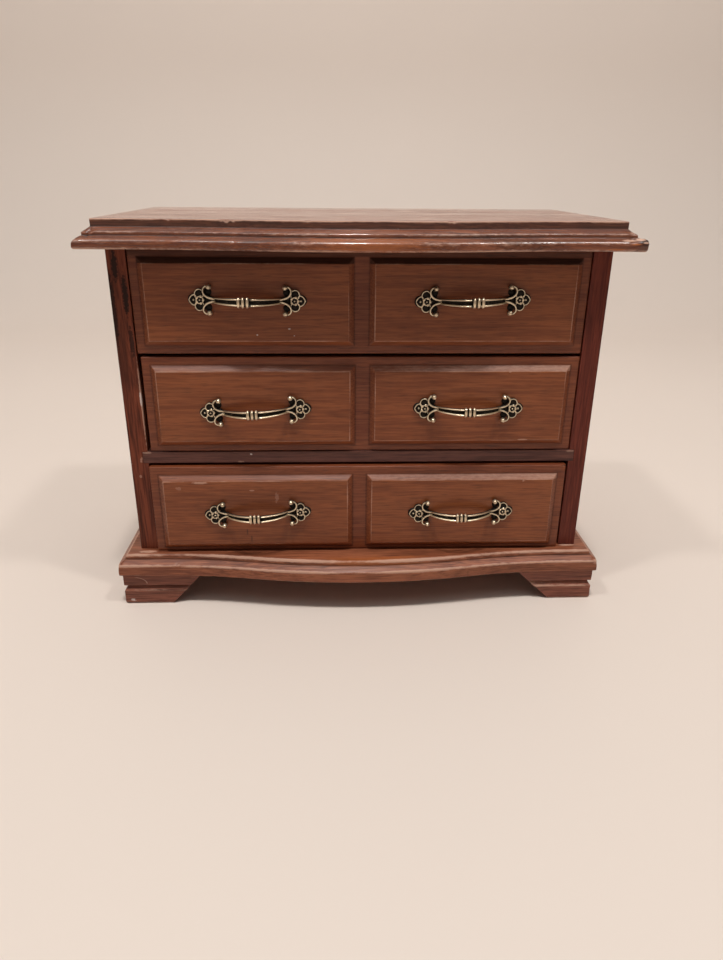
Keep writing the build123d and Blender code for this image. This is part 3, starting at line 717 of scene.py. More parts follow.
def pull_ring(sizes, along):
    """A ring round the bar's crest: a small circle carried round an ellipse as tall as the ring."""
    turn, bead = around(40), around(12)
    way = np.stack((np.zeros_like(turn), np.sin(turn), np.cos(turn)), axis=-1)
    half = np.array((0.0, sizes.ring_half, sizes.bar_depth + sizes.ring_out)) - sizes.ring_bead
    flatness = np.array((0.9, 0.0, 0.0))
    ring = (way * half)[:, None] + sizes.ring_bead * (
        np.cos(bead)[:, None] * way[:, None] + np.sin(bead)[:, None] * flatness
    )
    ring = ring + np.array((along, 0.0, sizes.bar_crest))
    relief = np.clip(0.4 + 0.8 * np.cos(bead), 0, 1) * np.clip(0.8 + 0.5 * np.cos(turn), 0, 1)[:, None]
    return ring.reshape(-1, 3), grid_faces(turn.size, bead.size, True, True), relief.reshape(-1)


def pull_end(sizes, hand):
    """One end of a pull: plates, raised loops, a rosette and two scrolls that end in balls.

    A scroll's heading turns with the square of the way along it, so that it tightens towards its ball. The
    pointed loop is a circle whose height is pinched by a root of the sine of half its angle.
    """
    wire_sides, scroll_sides, petals = 8, 10, 5
    first_heading, heading_turn = 8, 204
    plate, wire = sizes.plate, sizes.wire
    middle = hand * sizes.centres / 2
    turn, run = around(56), np.linspace(0, 1, 46)
    level = np.full_like(turn, plate)
    tip_along = (sizes.tip_reach + sizes.tip_in) / 2 + (sizes.tip_reach - sizes.tip_in) / 2 * np.cos(turn)
    tip_up = sizes.tip_half / 0.86 * np.sin(turn) * np.sin(turn / 2) ** 0.55
    tip = np.stack((middle + hand * tip_along, tip_up, level), axis=-1)
    parts = [
        tube(tip, wire, wire_sides, True),
        # The plates reach a little past the loops; their dark patina also paints the shade round the casting
        dome((middle + hand * sizes.tip_reach * 0.62, 0, 0), sizes.tip_half * 1.12, plate, 2.5, relief=0.3),
        dome((middle, 0, 0), sizes.rosette_radius * 1.15, plate * 0.9, 4),
        dome((middle - hand * sizes.neck_in, 0, 0), sizes.neck_radius, plate * 0.9, 3),
        ball((middle + hand * sizes.stud_out, 0, plate), sizes.stud_radius),
    ]
    heading = np.radians(first_heading + heading_turn * run ** 2)
    bends = (heading[1:] + heading[:-1]) / 2
    step = sizes.scroll_length / (run.size - 1)
    ahead = np.concatenate(((0,), np.cumsum(np.cos(bends)) * step))
    climb = np.concatenate(((0,), np.cumsum(np.sin(bends)) * step))
    lift = plate + sizes.scroll_lift * (1 + np.sin(run * np.pi))
    for up in (-1, 1):
        spot = (middle + hand * sizes.lobe_out, up * sizes.lobe_up, 0)
        loop_along = spot[0] + hand * sizes.lobe_radius * np.cos(turn)
        loop = np.stack((loop_along, spot[1] + sizes.lobe_radius * 1.06 * np.sin(turn), level), axis=-1)
        scroll_along = middle - hand * (sizes.scroll_in - ahead)
        scroll = np.stack((scroll_along, up * (sizes.scroll_up + climb), lift), axis=-1)
        ball_spot = (scroll[-1, 0], scroll[-1, 1] - up * sizes.ball_radius / 8, sizes.ball_depth)
        horn_spot = (middle - hand * sizes.horn_in, up * sizes.horn_up, 0)
        parts += [
            tube(loop, wire, wire_sides, True),
            dome(spot, sizes.lobe_radius * 1.15, plate, 2.5, relief=0.42),
            tube(scroll, sizes.scroll_radius * (1 - 0.3 * run), scroll_sides, False),
            ball(ball_spot, (sizes.ball_radius, sizes.ball_radius, sizes.ball_depth)),
            # The dark plate behind each scroll stands for the shade between the scroll and the bar
            dome(horn_spot, sizes.horn_radius, plate * 0.8, 2),
        ]
    seat, height, ring_radius = plate * 0.7, sizes.rosette_height, 0.68 * sizes.rosette_radius
    ring_along, ring_up = middle + ring_radius * np.cos(turn), ring_radius * np.sin(turn)
    ring = np.stack((ring_along, ring_up, np.full_like(turn, seat + height * 0.7)), axis=-1)
    parts += [
        dome((middle, 0, seat), sizes.rosette_radius, height, 3, petals=petals, ripple=0.1, relief=0.3),
        tube(ring, wire * 1.1, wire_sides, True),
        ball((middle, 0, seat + height), sizes.boss_radius),
    ]
    for petal in around(petals):
        spot = (middle + ring_radius * np.cos(petal), ring_radius * np.sin(petal), seat + height * 0.6)
        parts.append(ball(spot, (sizes.petal_radius, sizes.petal_radius, sizes.petal_depth)))
    return parts


def pull_seat(node):
    """Where a pull sits: the middle of its two outermost points, its tilt, and the face it lies on."""
    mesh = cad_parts[node].data
    spots = np.empty(len(mesh.vertices) * 3, np.float32)
    mesh.vertices.foreach_get("co", spots)
    spots = spots.reshape(-1, 3).astype(float)
    left, right = spots[spots[:, 0].argmin()], spots[spots[:, 0].argmax()]
    middle = (left + right) / 2
    return np.array((middle[0], spots[:, 1].max(), middle[2])), unit((right - left) * np.array((1, 0, 1)))


def driven(head, radius, depth):
    """A screw or nail: its head on the surface, and a shank that tapers to a point behind it."""
    sides, into_head, taper = 16, 0.0001, (1, 1, 0.15)
    reach = np.array((into_head, -0.8 * depth, -depth))
    line = np.stack((np.zeros_like(reach), np.zeros_like(reach), reach), axis=-1)
    angle = around(sides)
    circle = np.stack((np.cos(angle), np.sin(angle), np.zeros_like(angle)), axis=-1)
    points = line[:, None] + circle * (radius * np.array(taper))[:, None, None]
    return [head, (points.reshape(-1, 3), tube_faces(len(line), sides), np.zeros(len(line) * sides))]


def placed(parts, seat, along, up, out):
    """Parts moved from (along, up, out) to a seat and its three ways."""
    ways = np.array((along, up, out), float)
    return [(np.array(seat) + points @ ways, faces, mark) for points, faces, mark in parts]


# Materials

def feed(tree, node, inputs):
    """Links or sets each named input of a node."""
    for name, value in inputs.items():
        if isinstance(value, bpy.types.NodeSocket):
            tree.links.new(value, node.inputs[name])
        else:
            node.inputs[name].default_value = value


def place(tree, kind, inputs=None, **settings):
    """A new node, with its settings and with its inputs fed."""
    node = tree.nodes.new(kind)
    for name, value in settings.items():
        setattr(node, name, value)
    feed(tree, node, inputs or {})
    return node


def blend(tree, share, first, second, mode="MIX"):
    """Mixes two colours by a share."""
    inputs = {0: share, 6: first, 7: second}
    return place(tree, "ShaderNodeMix", inputs, data_type="RGBA", blend_type=mode).outputs[2]


def calc(tree, operation, first, second=0.0, third=0.0):
    """One sum of numbers."""
    return place(tree, "ShaderNodeMath", {0: first, 1: second, 2: third}, operation=operation).outputs[0]


def move(tree, operation, first, second):
    """One sum of two vectors."""
    return place(tree, "ShaderNodeVectorMath", {0: first, 1: second}, operation=operation).outputs[0]


def remap(tree, value, low, high, to_low=0.0, to_high=1.0):
    """Eases a number from one range into another."""
    inputs = {"Value": value, "From Min": low, "From Max": high, "To Min": to_low, "To Max": to_high}
    return place(tree, "ShaderNodeMapRange", inputs, interpolation_type="SMOOTHSTEP").outputs["Result"]


def stretched_noise(tree, vector, scale, detail, distortion=0.0):
    """Noise over a vector that is scaled by its own amount each way."""
    inputs = {
        "Vector": move(tree, "MULTIPLY", vector, scale), "Scale": 1.0, "Detail": detail, "Roughness": 0.6,
        "Distortion": distortion,
    }
    return place(tree, "ShaderNodeTexNoise", inputs).outputs["Fac"]


NUMBER, VECTOR, COLOUR = "NodeSocketFloat", "NodeSocketVector", "NodeSocketColor"


def new_group(name, inputs, outputs):
    """An empty node group with named sockets, what it is given, and the node that it gives out by."""
    tree = bpy.data.node_groups.new(name, "ShaderNodeTree")
    for socket, kind in inputs.items():
        tree.interface.new_socket(socket, in_out="INPUT", socket_type=kind)
    for socket, kind in outputs.items():
        tree.interface.new_socket(socket, in_out="OUTPUT", socket_type=kind)
    return tree, tree.nodes.new("NodeGroupInput").outputs, tree.nodes.new("NodeGroupOutput")


def use(tree, build, inputs):
    """Places a node group, built the first time it is asked for, and gives its outputs."""
    group = bpy.data.node_groups.get(build.__name__) or build(build.__name__)
    return place(tree, "ShaderNodeGroup", inputs, node_tree=group).outputs


def ragged(tree, given, base, scale):
    """A number made uneven by fine noise, by as much as the group is given."""
    noise = stretched_noise(tree, given["Vector"], scale, 4)
    return calc(tree, "MULTIPLY_ADD", calc(tree, "SUBTRACT", noise, 0.5), given["Ragged"], base)


def stained_grain(name):
    """Wood grain along X: broad bands, fine lines, short pores and dark streaks."""
    tree, given, out = new_group(
        name, {"Vector": VECTOR, "Light": COLOUR, "Dark": COLOUR, "Streak": COLOUR, "Streaks": NUMBER},
        {"Color": COLOUR, "Height": NUMBER, "Tone": NUMBER},
    )
    vector = given["Vector"]
    bands = stretched_noise(tree, vector, (6, 45, 45), 3, 0.5)
    lines = stretched_noise(tree, vector, (42, 900, 900), 2)
    pores = stretched_noise(tree, vector, (100, 2000, 2000), 1)
    blots = remap(tree, stretched_noise(tree, vector, (11, 90, 90), 5, 1.0), 0.50, 0.64)
    total = calc(tree, "MULTIPLY_ADD", lines, 0.65, calc(tree, "MULTIPLY", bands, 0.35))
    tone = remap(tree, total, 0.36, 0.62)
    stain = blend(tree, tone, given["Dark"], given["Light"])
    stain = blend(tree, remap(tree, pores, 0.54, 0.74, 0, 0.4), stain, given["Streak"])
    stain = blend(tree, calc(tree, "MULTIPLY", blots, given["Streaks"]), stain, given["Streak"])
    height = calc(tree, "MULTIPLY_ADD", pores, -0.4, calc(tree, "MULTIPLY", lines, 0.6))
    feed(tree, out, {"Color": stain, "Height": height, "Tone": tone})
    return tree


def edge_wear(name):
    """A mask that fills in where the wear mark is strong, from even to ragged."""
    tree, given, out = new_group(
        name, {"Vector": VECTOR, "Wear": NUMBER, "Amount": NUMBER, "Ragged": NUMBER}, {"Mask": NUMBER}
    )
    strength = calc(tree, "MULTIPLY", given["Wear"], given["Amount"])
    total = ragged(tree, given, strength, (240, 700, 700))
    mask = calc(tree, "MULTIPLY", remap(tree, total, 0.3, 0.9), remap(tree, strength, 0.05, 0.3))
    feed(tree, out, {"Mask": mask})
    return tree


PATCH_NOISE = (620, 620, 620)


def start_patch(name):
    """A group for a mask about an egg, with the way from its middle in half sizes, and that way's length."""
    tree, given, out = new_group(
        name, {"Vector": VECTOR, "Middle": VECTOR, "Half": VECTOR, "Ragged": NUMBER, "Strength": NUMBER},
        {"Mask": NUMBER},
    )
    away = move(tree, "DIVIDE", move(tree, "SUBTRACT", given["Vector"], given["Middle"]), given["Half"])
    reach = place(tree, "ShaderNodeVectorMath", {0: away}, operation="LENGTH").outputs["Value"]
    return tree, given, out, away, reach


def worn_patch(name):
    """A mask over a soft-edged egg about a middle, from even to ragged: a stain, a bruise or a scratch."""
    tree, given, out, _, reach = start_patch(name)
    total = ragged(tree, given, calc(tree, "SUBTRACT", 1.0, reach), PATCH_NOISE)
    cover = calc(tree, "MULTIPLY", remap(tree, total, 0.05, 0.5), remap(tree, reach, 0.8, 1.0, 1, 0))
    feed(tree, out, {"Mask": calc(tree, "MULTIPLY", cover, given["Strength"])})
    return tree


def scratch_arc(name):
    """A mask over a thin arc, the upper outer quarter of an egg's outline, from even to broken."""
    tree, given, out, away, reach = start_patch(name)
    parts = place(tree, "ShaderNodeSeparateXYZ", {0: away}).outputs
    aside = calc(tree, "ABSOLUTE", calc(tree, "SUBTRACT", reach, 1.0))
    total = ragged(tree, given, calc(tree, "MULTIPLY_ADD", aside, -16.0, 1.0), PATCH_NOISE)
    quarter = calc(tree, "MULTIPLY", remap(tree, parts[0], -0.05, 0.25), remap(tree, parts[2], -0.05, 0.15))
    line = calc(tree, "MULTIPLY", remap(tree, total, 0.1, 0.6), quarter)
    feed(tree, out, {"Mask": calc(tree, "MULTIPLY", line, given["Strength"])})
    return tree


def pale_specks(name):
    """A mask of small specks: the middles of a share of scattered cells."""
    tree, given, out = new_group(
        name, {"Vector": VECTOR, "Scale": NUMBER, "Share": NUMBER, "Size": NUMBER}, {"Mask": NUMBER}
    )
    cells = place(tree, "ShaderNodeTexVoronoi", {"Vector": given["Vector"], "Scale": given["Scale"]})
    near = calc(tree, "LESS_THAN", cells.outputs["Distance"], given["Size"])
    chosen = place(tree, "ShaderNodeSeparateColor", {0: cells.outputs["Color"]}).outputs[0]
    feed(tree, out, {"Mask": calc(tree, "MULTIPLY", near, calc(tree, "LESS_THAN", chosen, given["Share"]))})
    return tree


def cast_patina(name):
    """Rubbed brass over dark recesses, by a relief mark and fine noise."""
    tree, given, out = new_group(
        name, {"Vector": VECTOR, "Relief": NUMBER, "Brass": COLOUR, "Patina": COLOUR},
        {"Color": COLOUR, "Mask": NUMBER, "Height": NUMBER},
    )
    fine = stretched_noise(tree, given["Vector"], (900, 900, 900), 4)
    broad = stretched_noise(tree, given["Vector"], (160, 160, 160), 2)
    mixed = calc(tree, "MULTIPLY_ADD", fine, 0.5, calc(tree, "MULTIPLY", broad, 0.4))
    total = calc(tree, "ADD", given["Relief"], calc(tree, "SUBTRACT", mixed, 0.45))
    mask = remap(tree, total, 0.52, 0.94)
    tint = blend(tree, mask, given["Patina"], given["Brass"])
    feed(tree, out, {"Color": tint, "Mask": mask, "Height": fine})
    return tree


GRAIN_TURNS = {"x": (0, 0, 0), "y": (0, 0, np.pi / 2), "z": (0, np.pi / 2, 0)}


def start_material(name, grain="x"):
    """A material with its node tree, its shader, its Object coordinates and those turned along the grain."""
    material = bpy.data.materials.new(name)
    material.use_nodes = True
    tree = material.node_tree
    spot = place(tree, "ShaderNodeTexCoord").outputs["Object"]
    turned = place(tree, "ShaderNodeMapping", {"Vector": spot, "Rotation": GRAIN_TURNS[grain]}).outputs[0]
    return material, tree, tree.nodes["Principled BSDF"], spot, turned


def mark_of(tree, name):
    """A mark kept on the mesh by its name."""
    return place(tree, "ShaderNodeAttribute", attribute_name=name).outputs["Fac"]


def rgba(tint):
    """A colour with full cover."""
    return (*tint, 1.0)


def bump(tree, shader, height, strength, distance):
    """Bumps a shader's normal by a height."""
    inputs = {"Height": height, "Strength": strength, "Distance": distance}
    feed(tree, shader, {"Normal": place(tree, "ShaderNodeBump", inputs).outputs[0]})


def stained_wood(
    name, light, dark, grain="x", streaks=0.2, wear=1.0, raggedness=1.0, gloss=0.36, shine=0.3, dull=0.1,
    margin=None, patches=(), arcs=(),
):
    """Stained, lacquered wood with worn edges, painted shade in corners, rubbed places, marks and a few pale
    specks.

    Its darker grain is duller. Where there is a margin, its tint multiplies the stain outside the field mark.
    A patch or an arc is its middle, its half size, its raggedness, its strength and the name of its finish.
    """
    finishes = bpy.context.scene.chest_finishes
    material, tree, shader, spot, vector = start_material(name, grain)
    stain = use(tree, stained_grain, {
        "Vector": vector, "Light": rgba(light), "Dark": rgba(dark), "Streak": rgba(finishes.streak),
        "Streaks": streaks,
    })
    tint, painted_shade = stain["Color"], mark_of(tree, "painted_shade")
    if margin:
        outside = calc(tree, "SUBTRACT", 1.0, mark_of(tree, "field"))
        tint = blend(tree, outside, tint, rgba(margin), "MULTIPLY")
    rubbed, worn = (
        use(tree, edge_wear, {
            "Vector": vector, "Wear": mark_of(tree, mark), "Amount": amount, "Ragged": uneven,
        })["Mask"]
        for mark, amount, uneven in (("rubbed", 1.0, 1.0), ("wear", wear, raggedness))
    )
    # The painted shade darkens towards the streak colour; where a wear mark carries painted highlights, the
    # worn colour paints them
    covers = ((rubbed, 0.5, finishes.rubbed), (painted_shade, 0.8, finishes.streak), (worn, 0.7, finishes.worn))
    for mask, share, finish in covers:
        tint = blend(tree, calc(tree, "MULTIPLY", mask, share), tint, rgba(finish))
    marks = [(worn_patch, patch) for patch in patches] + [(scratch_arc, arc) for arc in arcs]
    for build, (middle, half, uneven, strength, finish) in marks:
        inputs = {"Vector": spot, "Middle": middle, "Half": half, "Ragged": uneven, "Strength": strength}
        tint = blend(tree, use(tree, build, inputs)["Mask"], tint, rgba(getattr(finishes, finish)))
    specks = use(tree, pale_specks, {"Vector": spot, "Scale": 150.0, "Share": 0.004, "Size": 0.06})
    tint = blend(tree, specks["Mask"], tint, rgba(finishes.dust))
    rough = remap(tree, stain["Tone"], 0, 1, gloss + dull, gloss)
    rough = calc(tree, "MULTIPLY_ADD", painted_shade, 0.4, rough)
    rough = calc(tree, "MULTIPLY_ADD", worn, 0.3, rough)
    feed(tree, shader, {"Base Color": tint, "Roughness": rough, "Specular IOR Level": shine})
    bump(tree, shader, stain["Height"], 0.16, 0.0002)
    return material


def raw_wood(name, grain):
    """Unfinished pale wood of the drawer boxes."""
    finishes = bpy.context.scene.chest_finishes
    material, tree, shader, _, vector = start_material(name, grain)
    stain = use(tree, stained_grain, {
        "Vector": vector, "Light": rgba(finishes.box_light), "Dark": rgba(finishes.box_dark),
        "Streak": rgba(finishes.board_dark), "Streaks": 0.12,
    })
    rough = remap(tree, stain["Tone"], 0, 1, 0.72, 0.6)
    feed(tree, shader, {"Base Color": stain["Color"], "Roughness": rough})
    bump(tree, shader, stain["Height"], 0.3, 0.0003)
    return material


def pressed_board(name):
    """Brown pressed fibre of the back panel."""
    finishes = bpy.context.scene.chest_finishes
    material, tree, shader, _, vector = start_material(name)
    fibres = stretched_noise(tree, vector, (420, 900, 900), 5)
    clouds = stretched_noise(tree, vector, (28, 28, 28), 3)
    tint = blend(tree, remap(tree, fibres, 0.35, 0.65), rgba(finishes.board_dark), rgba(finishes.board_light))
    tint = blend(tree, remap(tree, clouds, 0.4, 0.7, 0, 0.35), tint, rgba(finishes.board_dark))
    feed(tree, shader, {"Base Color": tint, "Roughness": remap(tree, fibres, 0.3, 0.7, 0.62, 0.5)})
    bump(tree, shader, fibres, 0.2, 0.0003)
    return material


def antique_brass(name):
    """Cast brass with dark recesses and rubbed high places."""
    finishes = bpy.context.scene.chest_finishes
    material, tree, shader, _, vector = start_material(name)
    cast = use(tree, cast_patina, {
        "Vector": vector, "Relief": mark_of(tree, "relief"), "Brass": rgba(finishes.brass),
        "Patina": rgba(finishes.patina),
    })
    feed(tree, shader, {
        "Base Color": cast["Color"],
        "Metallic": remap(tree, cast["Mask"], 0, 1, 0.3, 1.0),
        "Roughness": remap(tree, cast["Mask"], 0, 1, 0.6, 0.3),
        "Specular IOR Level": 0.3,
    })
    bump(tree, shader, cast["Height"], 0.2, 0.0002)
    return material


def plated_steel(name):
    """Dull plated steel of screws and nails."""
    finishes = bpy.context.scene.chest_finishes
    material, tree, shader, _, vector = start_material(name)
    cloud = stretched_noise(tree, vector, (700, 700, 700), 3)
    tint = blend(tree, remap(tree, cloud, 0.35, 0.7, 0, 0.4), rgba(finishes.steel), rgba(finishes.patina))
    rough = remap(tree, cloud, 0.3, 0.7, 0.3, 0.5)
    feed(tree, shader, {"Base Color": tint, "Roughness": rough, "Metallic": 1.0})
    return material


def napped_felt(name):
    """Felt: short crossed fibres, uneven colour and a soft sheen."""
    finishes = bpy.context.scene.chest_finishes
    material, tree, shader, _, vector = start_material(name)
    nap = stretched_noise(tree, vector, (1500, 1500, 1500), 5)
    worn = stretched_noise(tree, vector, (45, 45, 45), 3)
    deep = tuple(0.45 * part for part in finishes.felt)
    tint = blend(tree, remap(tree, nap, 0.35, 0.65), rgba(deep), rgba(finishes.felt))
    tint = blend(tree, remap(tree, worn, 0.45, 0.7, 0, 0.3), tint, rgba(deep))
    feed(tree, shader, {"Base Color": tint, "Roughness": 0.95, "Sheen Weight": 0.4, "Sheen Roughness": 0.5})
    bump(tree, shader, nap, 0.5, 0.0006)
    return material


# Operators

class CHEST_OT_stage(bpy.types.Operator):
    """Lays the floor and its backdrop, hangs the lamps and places the camera."""

    bl_idname = "chest.stage"
    bl_label = "Stage"

    def execute(self, context):
        stage = context.scene.chest_stage
        context.scene.view_settings.view_transform = "Standard"
        self.lay_floor(context, stage)
        self.hang_lamps(context, stage)
        self.place_camera(context, stage)
        return {"FINISHED"}

    def lay_floor(self, context, stage):
        """A flat floor that sweeps up behind the chest in a quarter circle."""
        material, tree, shader, _, vector = start_material("pale_floor")
        cloud = stretched_noise(tree, vector, (3, 3, 3), 2)
        shade = tuple(0.97 * part for part in stage.floor)
        tint = blend(tree, cloud, rgba(stage.floor), rgba(shade))
        feed(tree, shader, {"Base Color": tint, "Roughness": 0.6, "Specular IOR Level": 0.3})
        half_width, reach, bend, back, bend_steps, columns = 8.0, 3.0, 0.5, 0.8, 24, 9
        turn = np.linspace(0, np.pi / 2, bend_steps)
        sweep = np.concatenate((
            ((-reach, 0.0),),
            np.stack((back + bend * np.sin(turn), bend * (1 - np.cos(turn))), axis=-1),
            ((back + bend, reach),),
        ))
        across = np.linspace(-half_width, half_width, columns)
        x, along = np.meshgrid(across, np.arange(len(sweep)), indexing="ij")
        points = np.stack((x, sweep[along, 0], sweep[along, 1]), axis=-1).reshape(-1, 3)
        mesh = bpy.data.meshes.new("floor_sweep")
        mesh.from_pydata(points.tolist(), [], grid_faces(*x.shape))
        mesh.materials.append(material)
        mesh.shade_smooth()
        floor = bpy.data.objects.new("floor_sweep", mesh)
        context.scene.collection.objects.link(floor)

    def hang_lamps(self, context, stage):
        """Three round lamps in a row overhead, a broad one between them, and faint light from all round.

        The eye, mirrors and glass see the room in its own colour.
        """
        world = bpy.data.worlds.new("soft_room")
        world.use_nodes = True
        tree = world.node_tree
        background = tree.nodes["Background"]
        feed(tree, background, {"Color": (1.0, 0.99, 0.97, 1.0), "Strength": stage.ambient})
        room = place(tree, "ShaderNodeBackground", {"Color": rgba(stage.room), "Strength": 1.0})
        rays = place(tree, "ShaderNodeLightPath").outputs
        mirrored = calc(tree, "MAXIMUM", rays["Is Glossy Ray"], rays["Is Transmission Ray"])
        seen = calc(tree, "MAXIMUM", rays["Is Camera Ray"], mirrored)
        mixed = place(tree, "ShaderNodeMixShader", {0: seen, 1: background.outputs[0], 2: room.outputs[0]})
        feed(tree, tree.nodes["World Output"], {"Surface": mixed.outputs[0]})
        context.scene.world = world
        aim, warm = Vector((0, 0, 0.1)), (1.0, 0.985, 0.96)
        # Places aside and ahead are shares of the lamps' height
        row_spread, row_ahead, ceiling_ahead = 0.43, 0.29, 0.12
        for name, aside, ahead, size, watts in (
            ("lamp_left", -row_spread, row_ahead, stage.lamp_size, stage.side_lamps),
            ("lamp_middle", 0.0, row_ahead, stage.lamp_size, stage.middle_lamp),
            ("lamp_right", row_spread, row_ahead, stage.lamp_size, stage.side_lamps),
            ("lamp_ceiling", 0.0, ceiling_ahead, stage.ceiling_size, stage.ceiling_lamp),
        ):
            spot = stage.lamp_height * Vector((aside, -ahead, 1))
            light = bpy.data.lights.new(name, "AREA")
            light.shape = "DISK"
            light.size = size
            light.energy = watts
            light.color = warm
            lamp = bpy.data.objects.new(name, light)
            lamp.location = spot
            lamp.rotation_euler = (aim - spot).to_track_quat("-Z", "Y").to_euler()
            context.scene.collection.objects.link(lamp)

    def place_camera(self, context, stage):
        """A camera at the chest's photographed angle."""
        pitch, roll, yaw = stage.camera_turn
        ahead = Vector((np.sin(yaw) * np.cos(pitch), np.cos(yaw) * np.cos(pitch), -np.sin(pitch)))
        right = Vector((np.cos(yaw), -np.sin(yaw), 0))
        down = ahead.cross(right)
        rolled_right = np.cos(roll) * right + np.sin(roll) * down
        rolled_up = np.sin(roll) * right - np.cos(roll) * down
        turned = Matrix((rolled_right, rolled_up, -ahead)).transposed().to_4x4()
        turned.translation = Vector(stage.camera_place)
        data = bpy.data.cameras.new("photo_view")
        data.sensor_width = 36
        data.lens = stage.lens
        data.clip_start = 0.01
        camera = bpy.data.objects.new("photo_view", data)
        camera.matrix_world = turned
        context.scene.collection.objects.link(camera)
        context.scene.camera = camera


class CHEST_OT_top(bpy.types.Operator):
    """Builds the moulded top board."""

    bl_idname = "chest.top"
    bl_label = "Top board"

    def execute(self, context):
        sizes = context.scene.chest_mouldings
        finishes = context.scene.chest_finishes
        bottom = TOP_BOARD[0].z
        overhang = TOP_BOARD[1].x - HALF_WIDTH
        ovolo_top = sizes.top_nose + sizes.ovolo_height
        top = bottom + ovolo_top + sizes.slab_height
        under_run, over_run, rim = 0.003, 0.002, 0.0002
        edge = rounded_line((
            (overhang - under_run, 0, 0, 0),
            (overhang, 0, sizes.top_foot_round, 0.7),
            (overhang, sizes.top_nose_face, sizes.top_nose_round, 0.4),
            (sizes.ovolo_overhang, sizes.top_nose, sizes.crease, 0.9),
            # The ovolo's wear mark is partly wear and partly a painted sheen on its round
            (sizes.ovolo_overhang, sizes.top_nose + sizes.ovolo_face, sizes.ovolo_round, 0.5),
            (sizes.slab_overhang, ovolo_top, sizes.crease, 0.9),
            (sizes.slab_overhang, top - bottom, sizes.slab_round, 1.1),
            (sizes.slab_overhang - over_run, top - bottom, 0, 0),
        ))
        front = FRONT_Y - sizes.slab_overhang
        # Bruises along the slab's front edge, then the two front corners; a negative depth swells out
        chips = (
            ((-0.0775, front - 0.0052, top), 0.0013, 0.5, 1.2),
            ((-0.0745, front - 0.0056, top), 0.0016, 0.8, 1.5),
            ((-0.0705, front - 0.0060, top), 0.0013, 0.5, 1.2),
            ((-0.1060, front - 0.0020, top), 0.0014, 0.5, 1.0),
            ((-0.0300, front - 0.0105, top), 0.0012, 0.4, 0.9),
            ((0.0470, front - 0.0090, top), 0.0011, 0.5, 1.2),
            ((0.0495, front - 0.0087, top), 0.0012, 0.6, 1.3),
            ((0.081, front - 0.005, top), 0.0013, 0.6, 1.3),
            ((-HALF_WIDTH - 0.006, FRONT_Y - 0.009, bottom + 0.0095), 0.0030, 1.3, 0.25),
            ((-HALF_WIDTH - 0.013, FRONT_Y - 0.013, bottom + 0.0065), 0.0028, 0.6, 0.5),
            ((HALF_WIDTH + 0.0125, FRONT_Y - 0.0125, bottom + 0.0050), 0.0034, -1.0, 0.1),
            ((HALF_WIDTH + 0.0060, FRONT_Y - 0.0135, bottom + 0.0062), 0.0014, 0.6, 0.6),
            ((HALF_WIDTH + 0.006, FRONT_Y - 0.011, bottom + 0.0065), 0.0016, 0.8, 0.4),
            ((HALF_WIDTH + 0.007, FRONT_Y - 0.008, bottom + 0.0105), 0.0024, 0.8, 0.5),
        )
        points, faces, worn, shade_paint = moulded_board(edge, bottom, sizes, chips, SEEDS["top"])
        x, y, z = points.T
        rubbed = 0.8 * bell(x - 0.004, 0.05) * (z < bottom + sizes.top_nose) * (y < FRONT_Y)
        # Painted shade over the slab's upright edge and over the underside, added to the creases' painted
        # shade
        slab = (z > bottom + ovolo_top + rim) & (z < top - 2 * rim)
        under = z < bottom + rim
        shade_paint = np.maximum.reduce((shade_paint, 0.5 * slab, 0.9 * under))
        splinters = tuple(
            ((HALF_WIDTH + along, FRONT_Y - 0.0125, bottom + up), (reach, 0.005, tall), 0.5, cover, finish)
            for along, up, reach, tall, cover, finish in (
                (0.0125, 0.0054, 0.0042, 0.0032, 0.85, "streak"),
                (0.0040, 0.0058, 0.0052, 0.0008, 0.9, "worn"),
                (0.0098, 0.0064, 0.0034, 0.0009, 1.0, "worn"),
                (0.0124, 0.0048, 0.0022, 0.0007, 0.9, "worn"),
                (0.0070, 0.0040, 0.0036, 0.0006, 0.8, "rubbed"),
                (-0.0040, 0.0012, 0.0070, 0.0008, 0.7, "rubbed"),
            )
        )
        material = stained_wood(
            "top_wood", finishes.top_light, finishes.top_dark, streaks=0.45, wear=1.35, gloss=0.08,
            shine=0.55, dull=0.22, margin=finishes.top_edge, patches=splinters,
        )
        level = (z - top) / sizes.slab_round + 1
        marks = {"wear": worn, "rubbed": rubbed, "painted_shade": shade_paint, "field": level}
        add_piece(
            "top_board_moulded", "case", material, points, faces, marks,
            replaces=("top_board",),
        )
        return {"FINISHED"}


